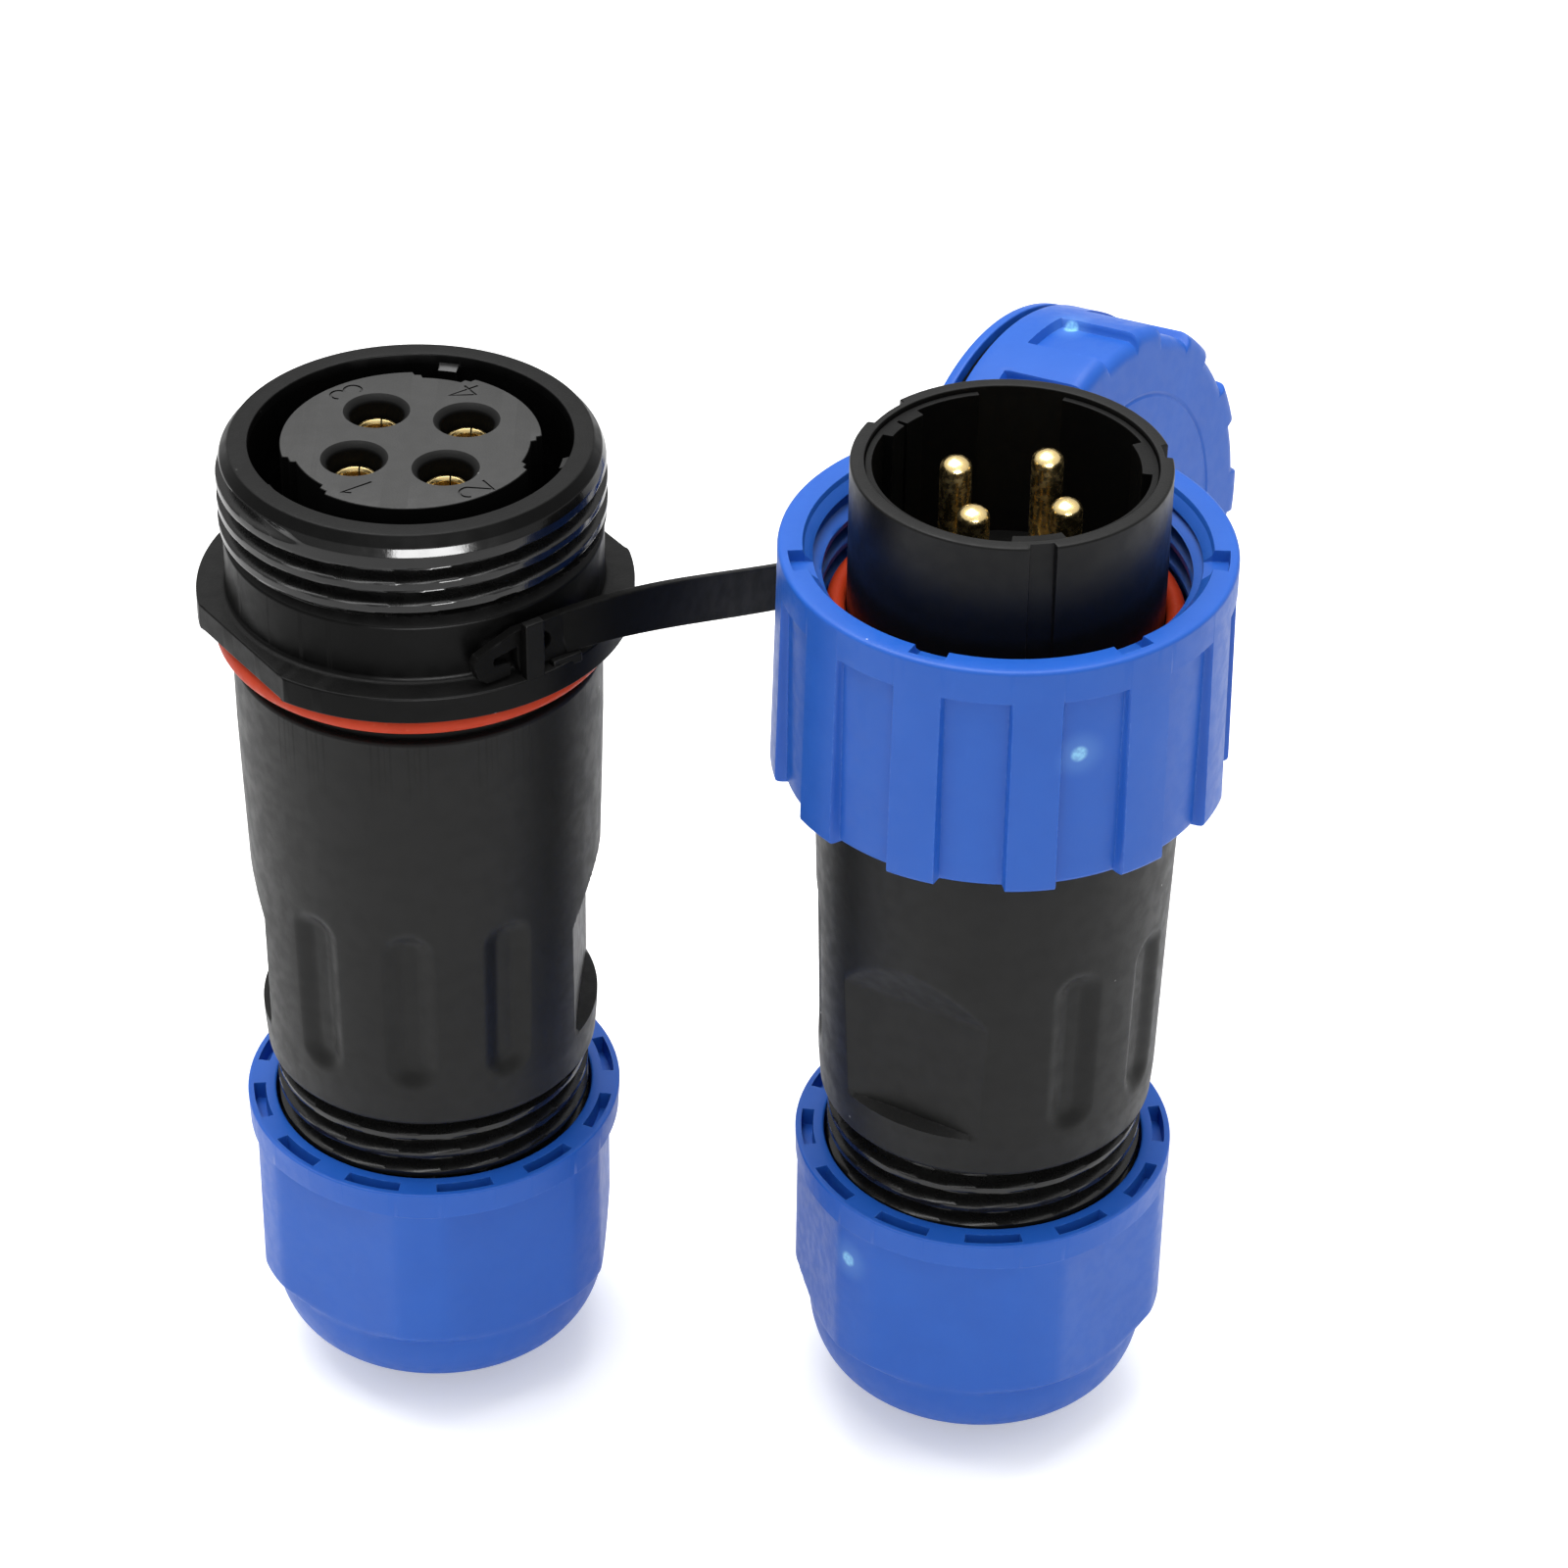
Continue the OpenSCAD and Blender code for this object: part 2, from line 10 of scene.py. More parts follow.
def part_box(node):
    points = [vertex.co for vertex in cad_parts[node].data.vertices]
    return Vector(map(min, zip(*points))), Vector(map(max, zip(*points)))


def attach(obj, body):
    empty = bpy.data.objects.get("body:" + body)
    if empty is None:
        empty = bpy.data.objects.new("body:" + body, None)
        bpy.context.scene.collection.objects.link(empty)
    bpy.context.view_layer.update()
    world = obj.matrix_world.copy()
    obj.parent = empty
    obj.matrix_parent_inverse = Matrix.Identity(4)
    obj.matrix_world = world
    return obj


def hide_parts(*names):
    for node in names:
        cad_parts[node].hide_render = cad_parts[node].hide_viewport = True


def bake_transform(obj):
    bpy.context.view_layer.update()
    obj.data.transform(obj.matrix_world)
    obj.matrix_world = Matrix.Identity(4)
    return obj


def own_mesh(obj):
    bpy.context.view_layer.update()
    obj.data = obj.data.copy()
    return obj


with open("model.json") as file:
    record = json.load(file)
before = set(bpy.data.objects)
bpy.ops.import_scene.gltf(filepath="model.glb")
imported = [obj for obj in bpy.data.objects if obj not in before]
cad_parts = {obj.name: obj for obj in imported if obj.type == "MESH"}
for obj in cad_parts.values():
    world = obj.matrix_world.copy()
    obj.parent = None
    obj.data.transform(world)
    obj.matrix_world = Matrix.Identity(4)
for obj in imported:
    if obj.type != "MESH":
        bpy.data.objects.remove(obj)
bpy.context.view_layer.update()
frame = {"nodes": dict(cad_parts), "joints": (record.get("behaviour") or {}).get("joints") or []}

JOINTS = {joint["name"]: joint for joint in frame["joints"]}
MM = 0.001
FRONT = 276.7      # direction in which the fronts of both halves face
PITCH = 2.0        # of the coupling thread and of the gland threads


# ---------- places ----------

def upright(joint):
    """Frame of a half that stands on the table: its axis is the joint's, and its front is along +X."""
    x, y, _ = JOINTS[joint]["pos_m"]
    return Matrix.Translation((x, y, 0)) @ Matrix.Rotation(math.radians(FRONT), 4, "Z")


def cap_place():
    """Frame of the cap: z = 0 is its closed face, the open end is below, and +X leans to the table."""
    normal = Vector(JOINTS["cap_turn"]["axis"]).normalized()
    side = Vector((-normal.y, normal.x, 0)).normalized()
    turn = Matrix((side.cross(normal), side, normal)).transposed().to_4x4()
    face = Vector(JOINTS["cap_turn"]["pos_m"]) + normal * RING_DEPTH * MM
    return Matrix.Translation(face) @ turn


def top_of(node):
    """Height of a CAD node's top in millimetres."""
    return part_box(node)[1].z / MM


RING_DEPTH = 11.8  # from the cap's closed face to the middle of the strap's ring
SOCKET = upright("socket_nut_turn")
PLUG = upright("plug_nut_turn")
CAP = cap_place()


# ---------- soft steps that shape the turned pieces ----------

def ramp(x, low, high):
    """0 below low, 1 above high and smooth between them."""
    t = np.clip((x - low) / (high - low), 0, 1)
    return t * t * (3 - 2 * t)


def turned_from(angle, middle):
    """Signed angle from middle, between -180 and 180."""
    return (angle - middle + 180) % 360 - 180


def window(angle, middle, wide, soft):
    """1 within a sector and 0 outside it."""
    return 1 - ramp(np.abs(turned_from(angle, middle)), wide / 2 - soft / 2, wide / 2 + soft / 2)


def between(x, low, high, soft=0.1):
    """1 from low to high and 0 outside."""
    return ramp(x, low - soft / 2, low + soft / 2) * (1 - ramp(x, high - soft / 2, high + soft / 2))


def crest(angle, z, at, flat=0.22, flank=0.5):
    """1 on the crests of a right-hand thread and 0 in its grooves; at is a crest's height at angle 0."""
    turn = (z - at) / PITCH - angle / 360
    return 1 - ramp(np.abs(turn - np.round(turn)) * PITCH, flat, flat + flank)


# ---------- mesh building ----------

def rounded(corners, radius=0.15, steps=3):
    """Closed outline whose corners (r, z) get the usual radius and corners (r, z, radius) their own."""
    outline = []
    for i, corner in enumerate(corners):
        here = Vector(corner[:2])
        size = corner[2] if len(corner) > 2 else radius
        before = Vector(corners[i - 1][:2]) - here
        after = Vector(corners[(i + 1) % len(corners)][:2]) - here
        half = before.angle(after) / 2
        if size == 0 or half > 1.5:
            outline.append(here)
            continue
        reach = min(size / math.tan(half), 0.45 * before.length, 0.45 * after.length)
        size = reach * math.tan(half)
        centre = here + (before.normalized() + after.normalized()).normalized() * size / math.sin(half)
        a = here + before.normalized() * reach - centre
        b = here + after.normalized() * reach - centre
        swing = math.atan2(a.x * b.y - a.y * b.x, a.dot(b))
        for k in range(steps + 1):
            t = swing * k / steps
            outline.append(centre + Vector((
                a.x * math.cos(t) - a.y * math.sin(t),
                a.x * math.sin(t) + a.y * math.cos(t),
            )))
    return outline


def divided(outline, step, inside):
    """Outline with close points on some edges.

    They are the edges whose middle is inside (lowest r, lowest z, highest r, highest z).
    """
    finer = []
    low_r, low_z, high_r, high_z = inside
    for i, here in enumerate(outline):
        after = outline[(i + 1) % len(outline)]
        middle = (here + after) / 2
        finer.append(here)
        if low_r <= middle.x <= high_r and low_z <= middle.y <= high_z:
            count = max(1, round((after - here).length / step))
            finer += [here.lerp(after, k / count) for k in range(1, count)]
    return finer


def meridians(edges, count):
    """Angles of a turned mesh: an even spread, and five close ones across each edge (angle, softness)."""
    marks = {round(i * 360 / count, 2) for i in range(count)}
    for edge, soft in edges:
        marks |= {round((edge + k * soft / 2) % 360, 2) for k in (-1.05, -0.5, 0, 0.5, 1.05)}
    marks = sorted(marks)
    return [m for i, m in enumerate(marks) if i == 0 or m - marks[i - 1] > 0.04]


def sides(windows, soft):
    """Both edges of each sector (middle, width), for meridians()."""
    return [((middle + k * wide / 2) % 360, soft) for middle, wide in windows for k in (-1, 1)]


def turned(outline, shape=None, edges=(), count=144, span=None):
    """Mesh of an outline turned round the z axis. shape(angle, r, z) may move its points.

    With span (start, end) only that sector is made, and its ends are closed.
    """
    if span:
        marks = [span[0] + (span[1] - span[0]) * i / count for i in range(count + 1)]
    else:
        marks = meridians(edges, count)
    angle = np.array(marks)[:, None]
    r = np.array([p[0] for p in outline])[None, :] + 0 * angle
    z = np.array([p[1] for p in outline])[None, :] + 0 * angle
    if shape:
        r, z = shape(turned_from(angle, 0) + 0 * r, r, z)
    x, y = r * np.cos(np.radians(angle)), r * np.sin(np.radians(angle))
    mesh = bmesh.new()
    rows, columns = r.shape
    grid = [[mesh.verts.new((x[i, j], y[i, j], z[i, j])) for j in range(columns)] for i in range(rows)]
    for i in range(rows - 1 if span else rows):
        k = (i + 1) % rows
        for j in range(columns):
            m = (j + 1) % columns
            mesh.faces.new((grid[i][j], grid[k][j], grid[k][m], grid[i][m]))
    if span:
        mesh.faces.new(grid[0])
        mesh.faces.new(grid[-1][::-1])
    return cleaned(mesh)


def cleaned(mesh):
    """mesh without double points, loose edges or normals that point inwards."""
    bmesh.ops.remove_doubles(mesh, verts=mesh.verts, dist=1e-4)
    bmesh.ops.dissolve_degenerate(mesh, edges=mesh.edges, dist=1e-4)
    bmesh.ops.delete(mesh, geom=[edge for edge in mesh.edges if not edge.link_faces], context="EDGES")
    bmesh.ops.recalc_face_normals(mesh, faces=mesh.faces)
    if mesh.calc_volume(signed=True) < 0:
        bmesh.ops.reverse_faces(mesh, faces=mesh.faces)
    return mesh


def block(low, high, radius, place=Matrix.Identity(4)):
    """Box between two corners with rounded edges."""
    mesh = bmesh.new()
    bmesh.ops.create_cube(mesh, size=1)
    middle, size = (Vector(low) + Vector(high)) / 2, Vector(high) - Vector(low)
    moved(mesh, place @ Matrix.Translation(middle) @ Matrix.Diagonal((*size, 1)))
    bmesh.ops.bevel(mesh, geom=mesh.edges, offset=radius, segments=3, affect="EDGES", profile=0.5)
    return mesh


def plate(loops, low, high, bevel, place=Matrix.Identity(4)):
    """Flat plate between two heights from closed loops of (x, y) points, with holes and rounded edges."""
    curve = bpy.data.curves.new("outline", "CURVE")
    curve.dimensions = "2D"
    curve.fill_mode = "BOTH"
    curve.extrude = (high - low) / 2 - bevel
    curve.bevel_depth = bevel
    curve.bevel_resolution = 2
    curve.offset = -bevel    # so that the rounded edge ends on the outline
    for loop in loops:
        spline = curve.splines.new("POLY")
        spline.points.add(len(loop) - 1)
        for point, (x, y) in zip(spline.points, loop):
            point.co = (x, y, 0, 1)
        spline.use_cyclic_u = True
    mesh = as_bmesh(curve)
    return cleaned(moved(mesh, place @ Matrix.Translation((0, 0, (low + high) / 2))))


def as_bmesh(curve):
    """Mesh of a curve."""
    holder = bpy.data.objects.new("holder", curve)
    bpy.context.scene.collection.objects.link(holder)
    evaluated = holder.evaluated_get(bpy.context.evaluated_depsgraph_get())
    made = bpy.data.meshes.new_from_object(evaluated)
    bpy.data.objects.remove(holder)
    mesh = bmesh.new()
    mesh.from_mesh(made)
    return mesh


def polar_loop(radius, count=240):
    """Closed loop of (x, y) points from radius(angle)."""
    angles = np.linspace(0, 360, count, endpoint=False)
    r = radius(turned_from(angles, 0))
    return list(zip(r * np.cos(np.radians(angles)), r * np.sin(np.radians(angles))))


def moved(mesh, matrix):
    """mesh itself, taken through the matrix."""
    bmesh.ops.transform(mesh, verts=mesh.verts, matrix=matrix)
    return mesh


def joined(*meshes):
    """One mesh from several."""
    whole = bmesh.new()
    for mesh in meshes:
        data = bpy.data.meshes.new("part")
        mesh.to_mesh(data)
        whole.from_mesh(data)
        mesh.free()
        bpy.data.meshes.remove(data)
    return whole


def cut(mesh, cutters):
    """mesh less the cutters, taken off one after the other."""
    holders = []
    for part in (mesh, *cutters):
        data = bpy.data.meshes.new("part")
        part.to_mesh(data)
        part.free()
        holders.append(bpy.data.objects.new("holder", data))
        bpy.context.scene.collection.objects.link(holders[-1])
    for cutter in holders[1:]:
        boolean = holders[0].modifiers.new("cut", "BOOLEAN")
        boolean.object, boolean.operation, boolean.solver = cutter, "DIFFERENCE", "EXACT"
    evaluated = holders[0].evaluated_get(bpy.context.evaluated_depsgraph_get())
    made = bpy.data.meshes.new_from_object(evaluated)
    for holder in holders:
        bpy.data.objects.remove(holder)
    result = bmesh.new()
    result.from_mesh(made)
    return cleaned(result)


def four(mesh_at):
    """One mesh from mesh_at(x, y) at the four corners of the contact square."""
    half = CONTACT_SIDE / 2
    return joined(*[mesh_at(x, y) for x in (-half, half) for y in (-half, half)])


def piece(name, mesh, place, body, finish, nodes, crease=40):
    """Object in metres from a mesh in millimetres; it rides on a body and stands for CAD nodes.

    Edges sharper than crease (degrees) are shaded as edges.
    """
    moved(mesh, place @ Matrix.Scale(MM, 4))
    for edge in mesh.edges:
        edge.smooth = edge.calc_face_angle(0) < math.radians(crease)
    for face in mesh.faces:
        face.smooth = True
    data = bpy.data.meshes.new(name)
    mesh.to_mesh(data)
    mesh.free()
    data.materials.append(finish)
    made = bpy.data.objects.new(name, data)
    bpy.context.scene.collection.objects.link(made)
    weighted = made.modifiers.new("even_shading", "WEIGHTED_NORMAL")
    weighted.keep_sharp = True
    if body:
        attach(made, body)
    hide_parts(*nodes)
    return made


# ---------- finishes ----------

class Finish:
    """Node material around a Principled shader, with textures placed in metres on the piece at rest."""

    def __init__(self, name, **inputs):
        self.material = bpy.data.materials.new(name)
        self.material.use_nodes = True
        self.tree = self.material.node_tree
        self.shader = self.tree.nodes["Principled BSDF"]
        self.place = self.add("ShaderNodeTexCoord").outputs["Object"]
        self.plug(self.shader, inputs)

    def add(self, kind, inputs=None, **fields):
        node = self.tree.nodes.new(kind)
        for key, value in fields.items():
            setattr(node, key, value)
        self.plug(node, inputs or {})
        return node

    def plug(self, node, inputs):
        for key, value in inputs.items():
            if isinstance(value, bpy.types.NodeSocket):
                self.tree.links.new(value, node.inputs[key])
            else:
                node.inputs[key].default_value = value

    def noise(self, grain_mm, detail=2.0, stretch=None):
        """Noise from 0 to 1 whose grains are about grain_mm wide."""
        vector = self.place
        if stretch:
            vector = self.add("ShaderNodeMapping", {"Vector": vector, "Scale": stretch}).outputs[0]
        inputs = {"Vector": vector, "Scale": 1 / (grain_mm * MM), "Detail": detail}
        return self.add("ShaderNodeTexNoise", inputs).outputs["Fac"]

    def math(self, operation, a, b=0.0):
        """Sum, product and so on, kept between 0 and 1."""
        node = self.add("ShaderNodeMath", operation=operation, use_clamp=True)
        self.plug(node, {0: a, 1: b})
        return node.outputs[0]

    def scaled(self, value, low, high, to_low=0.0, to_high=1.0):
        """value carried smoothly from the range low to high into the range to_low to to_high."""
        inputs = {"Value": value, "From Min": low, "From Max": high, "To Min": to_low, "To Max": to_high}
        return self.add("ShaderNodeMapRange", inputs, interpolation_type="SMOOTHSTEP").outputs["Result"]

    def mix(self, share, a, b):
        """Colour a where share is 0 and colour b where it is 1."""
        node = self.add("ShaderNodeMix", data_type="RGBA")
        for index, value in ((0, share), (6, a), (7, b)):
            if isinstance(value, bpy.types.NodeSocket):
                self.tree.links.new(value, node.inputs[index])
            else:
                node.inputs[index].default_value = value
        return node.outputs[2]

    def bump(self, height, deep_mm, normal=None):
        """Normal of a relief that is deep_mm high where height is 1."""
        inputs = {"Height": height, "Distance": deep_mm * MM, "Strength": 1.0}
        if normal:
            inputs["Normal"] = normal
        return self.add("ShaderNodeBump", inputs).outputs["Normal"]

    def edges(self, radius_mm):
        """1 at the edges that handling rubs, 0 on faces."""
        bevel = self.add("ShaderNodeBevel", {"Radius": radius_mm * MM}, samples=4).outputs[0]
        normal = self.add("ShaderNodeNewGeometry").outputs["Normal"]
        dot = self.add("ShaderNodeVectorMath", {0: bevel, 1: normal}, operation="DOT_PRODUCT")
        return self.scaled(dot.outputs["Value"], 0.995, 0.9)

    def facing_up(self):
        """1 on level faces, 0 on walls, for pieces that stand upright."""
        normal = self.add("ShaderNodeTexCoord").outputs["Normal"]
        z = self.add("ShaderNodeSeparateXYZ", {0: normal}).outputs["Z"]
        return self.scaled(self.math("ABSOLUTE", z), 0.6, 0.9)

    def near(self, point_m, low_mm, high_mm):
        """1 within low_mm of a point, 0 beyond high_mm."""
        node = self.add("ShaderNodeVectorMath", {0: self.place, 1: tuple(point_m)}, operation="DISTANCE")
        return self.scaled(node.outputs["Value"], low_mm * MM, high_mm * MM, 1.0, 0.0)


def specks(finish, spacing_mm, size_mm):
    """1 on sparse dust specks."""
    inputs = {"Vector": finish.place, "Scale": 1 / (spacing_mm * MM), "Randomness": 1.0}
    cells = finish.add("ShaderNodeTexVoronoi", inputs)
    near = finish.scaled(cells.outputs["Distance"], 0, size_mm / spacing_mm, 1.0, 0.0)
    shade = finish.add("ShaderNodeSeparateColor", {0: cells.outputs["Color"]}).outputs[0]
    return finish.math("MULTIPLY", near, finish.scaled(shade, 0.8, 0.82))


def black_nylon(name, grain=1.0, rough=0.42, shade=1.0, shine=0.35, polished=None, wall=1.0):
    """Glass-filled nylon: fine sand grain on the faces that look up, satin on the walls, rubbed edges.

    Between the two heights in polished (mm) it is as smooth as the thread inserts of its mould.
    Walls have the share wall of the shine of the faces that look up, and their tone is darkened towards
    black by the same share: painted shade.
    """
    f = Finish(name)
    cloud = f.noise(6, 3)
    sand = f.noise(0.16, 3)
    worn = f.math("MULTIPLY", f.edges(0.25), f.scaled(f.noise(0.7, 4), 0.45, 0.7))
    dark, pale = [(shade * c, shade * c, shade * c * 0.97, 1) for c in (0.0065, 0.0105)]
    base = f.mix(cloud, dark, pale)
    base = f.mix(f.math("MULTIPLY", worn, 0.3), base, (0.05, 0.05, 0.05, 1))
    base = f.mix(specks(f, 3.1, 0.16), base, (0.32, 0.32, 0.31, 1))
    up = f.facing_up()
    # Painted shade: walls are mixed towards black by the share wall, so faces that look up read as lit and
    # walls as shaded.
    share = f.scaled(up, 0, 1, wall, 1.0)
    base = f.mix(share, (0.001, 0.001, 0.001, 1), base)
    shine = f.math("MULTIPLY", share, shine)
    skin = f.scaled(f.noise(1.4, 3), 0.3, 0.7, rough - 0.05, rough + 0.05)
    skin = f.math("ADD", skin, f.math("MULTIPLY", up, 0.12 * grain))
    deep = f.scaled(up, 0, 1, 0.25, 1.0)
    if polished:
        height = f.add("ShaderNodeSeparateXYZ", {0: f.place}).outputs["Z"]
        low = f.scaled(height, (polished[0] - 0.1) * MM, (polished[0] + 0.1) * MM)
        high = f.scaled(height, (polished[1] - 0.1) * MM, (polished[1] + 0.1) * MM, 1.0, 0.0)
        smooth = f.math("MULTIPLY", low, high)
        shine = f.math("MAXIMUM", shine, f.math("MULTIPLY", smooth, 0.42))
        skin = f.math("SUBTRACT", skin, f.math("MULTIPLY", smooth, rough - 0.15))
        deep = f.math("MULTIPLY", deep, f.scaled(smooth, 0, 1, 1.0, 0.08))
    normal = f.bump(f.math("MULTIPLY", sand, deep), 0.02 * grain)
    if polished:
        milled = f.noise(0.16, 1, stretch=(1, 1, 0.08))
        normal = f.bump(f.math("MULTIPLY", milled, smooth), 0.004, normal)
    normal = f.bump(f.noise(2.5, 2), 0.006, normal)
    f.plug(f.shader, {
        "Base Color": base, "Roughness": skin, "Normal": normal, "IOR": 1.5, "Specular IOR Level": shine,
    })
    return f.material


def blue_nylon(name, marks=()):
    """Dyed nylon with a silky skin and pale stress at the edges; at each point in metres in marks a painted
    highlight, a small pale glint with a halo, is drawn into the colour.
    """
    f = Finish(name)
    cloud = f.noise(5, 3)
    flow = f.noise(1.2, 4, stretch=(1, 1, 0.25))
    base = f.mix(cloud, (0.011, 0.090, 0.44, 1), (0.016, 0.110, 0.50, 1))
    base = f.mix(f.scaled(flow, 0.62, 0.9, 0, 0.25), base, (0.028, 0.145, 0.60, 1))
    worn = f.math("MULTIPLY", f.edges(0.2), f.scaled(f.noise(0.5, 4), 0.4, 0.75))
    base = f.mix(f.math("MULTIPLY", worn, 0.4), base, (0.12, 0.27, 0.68, 1))
    base = f.mix(specks(f, 4.3, 0.12), base, (0.55, 0.65, 0.85, 1))
    # Painted highlight at each point: a pale halo and a brighter patchy spot mixed into the base colour.
    for painted_glint in marks:
        glint_patchy = f.scaled(f.noise(0.35, 3), 0.35, 0.6, 0.55, 1.0)
        glint_halo = f.math("MULTIPLY", f.near(painted_glint, 0.4, 2.6), 0.22)
        base = f.mix(glint_halo, base, (0.20, 0.42, 0.80, 1))
        base = f.mix(f.math("MULTIPLY", f.near(painted_glint, 0.4, 0.85), glint_patchy), base, (0.26, 0.58, 0.86, 1))
    rough = f.scaled(f.noise(1.1, 3), 0.3, 0.7, 0.36, 0.46)
    normal = f.bump(f.noise(0.14, 3), 0.007)
    normal = f.bump(f.noise(2.2, 2), 0.008, normal)
    f.plug(f.shader, {
        "Base Color": base, "Roughness": rough, "Normal": normal, "IOR": 1.5, "Specular IOR Level": 0.32,
        "Subsurface Weight": 0.12, "Subsurface Scale": 0.0008, "Subsurface Radius": (0.3, 0.6, 1.0),
    })
    return f.material


def silicone(name):
    """Red-orange moulded rubber with a dusty, slightly uneven skin."""
    f = Finish(name)
    base = f.mix(f.noise(3, 3), (0.40, 0.030, 0.006, 1), (0.50, 0.044, 0.011, 1))
    base = f.mix(f.scaled(f.noise(0.4, 4), 0.58, 0.8, 0, 0.2), base, (0.60, 0.14, 0.08, 1))
    rough = f.scaled(f.noise(0.8, 3), 0.3, 0.7, 0.42, 0.6)
    normal = f.bump(f.noise(0.25, 3), 0.012)
    f.plug(f.shader, {
        "Base Color": base, "Roughness": rough, "Normal": normal,
        "Specular IOR Level": 0.15,
        "Subsurface Weight": 0.1, "Subsurface Scale": 0.001, "Subsurface Radius": (1.0, 0.2, 0.1),
    })
    return f.material


def gold(name):
    """Thin gold plating over turned brass: fine turning lines and a few dull patches."""
    f = Finish(name)
    f.plug(f.shader, {"Metallic": 1.0})
    lines = f.noise(0.09, 2, stretch=(0.05, 0.05, 1))
    base = f.mix(f.noise(0.8, 3), (0.93, 0.68, 0.27, 1), (1.0, 0.79, 0.40, 1))
    rough = f.scaled(f.noise(0.5, 3), 0.35, 0.75, 0.2, 0.36)
    f.plug(f.shader, {"Base Color": base, "Roughness": rough, "Normal": f.bump(lines, 0.002)})
    return f.material


def soft_rubber(name):
    """Dark grey rubber with a bloom of talc."""
    f = Finish(name)
    base = f.mix(f.scaled(f.noise(1.5, 4), 0.4, 0.8), (0.020, 0.020, 0.022, 1), (0.06, 0.06, 0.062, 1))
    f.plug(f.shader, {"Base Color": base, "Roughness": 0.7, "Normal": f.bump(f.noise(0.3, 3), 0.02)})
    return f.material


def pale_nylon(name):
    """Undyed nylon of the clamping claws."""
    f = Finish(name)
    base = f.mix(f.noise(4, 3), (0.52, 0.51, 0.47, 1), (0.62, 0.61, 0.57, 1))
    rough = f.scaled(f.noise(0.9, 3), 0.3, 0.7, 0.38, 0.5)
    f.plug(f.shader, {
        "Base Color": base, "Roughness": rough, "Normal": f.bump(f.noise(0.2, 3), 0.01),
        "Subsurface Weight": 0.2, "Subsurface Scale": 0.002, "Subsurface Radius": (1.0, 0.9, 0.8),
    })
    return f.material


def on_surface(place, r, angle, z):
    """Point in metres in the row frame from a place on a piece in its own frame."""
    turn = math.radians(angle)
    return place @ (Vector((r * math.cos(turn), r * math.sin(turn), z)) * MM)


# ---------- pieces that both halves share ----------

CONTACT_SIDE = 7.35
HEX_FLAT_R = 14.7


def gland_nut():
    """Hexagonal nut: slotted flange above, six flats, domed nose with the cable hole."""
    slots = [(15 + i * 30, 17.6) for i in range(12)]
    slot_r, slot_depth, top = (14.5, 15.45), 1.6, top_of("socket_gland_nut")
    hex_z = (9.5, 24.6)
    dome = [(12 + 2.55 * math.sin(t), 9.5 - 5.4 * math.cos(t), 0) for t in np.radians(range(20, 90, 5))]
    outline = rounded([
        (6.6, 0, 0.2), (7.1, 0, 0.15), *dome, (14.55, 9.5, 0), (15.9, 10.95, 0.3), (15.9, 24.55, 0.25),
        (16, 24.65, 0.05), (16, top, 0.35), (15.62, top, 0), (15.49, top, 0), (15.42, top, 0),
        (15.2, top, 0), (14.75, top, 0), (14.53, top, 0), (14.46, top, 0), (14.3, top, 0),
        (13.56, top, 0.2), (13.56, 12), (11.2, 12), (11.2, 8.5), (7.4, 2), (6.6, 1.4),
    ])
    outline = divided(outline, 0.45, (14.5, 9.4, 17, 25))
    outline = divided(outline, 0.2, (13.5, 12.3, 13.6, 26.5))

    def shape(angle, r, z):
        flat = HEX_FLAT_R / np.cos(np.radians(angle % 60 - 30))
        flat = -0.12 * np.log(np.exp(-r / 0.12) + np.exp(-flat / 0.12))
        on_hex = (r > 14) * between(z, hex_z[0] + 0.1, hex_z[1] + 0.02, 0.16)
        r = r + (flat - r) * on_hex
        in_slot = sum(window(angle, middle, wide, 0.5) for middle, wide in slots)
        in_slot = in_slot * between(r, *slot_r, 0.06) * (z > top - 0.5)
        groove = between(z, 13, 25.5, 0.8) * (r < 13.7) * (r > 13.4) * (1 - crest(angle, z, 14))
        return r + 0.45 * groove, z - slot_depth * in_slot

    hex_edges = [(60 * k + s * 7.6, 3) for k in range(6) for s in (-1, 1)]
    return turned(outline, shape, hex_edges + sides(slots, 0.5), 180)


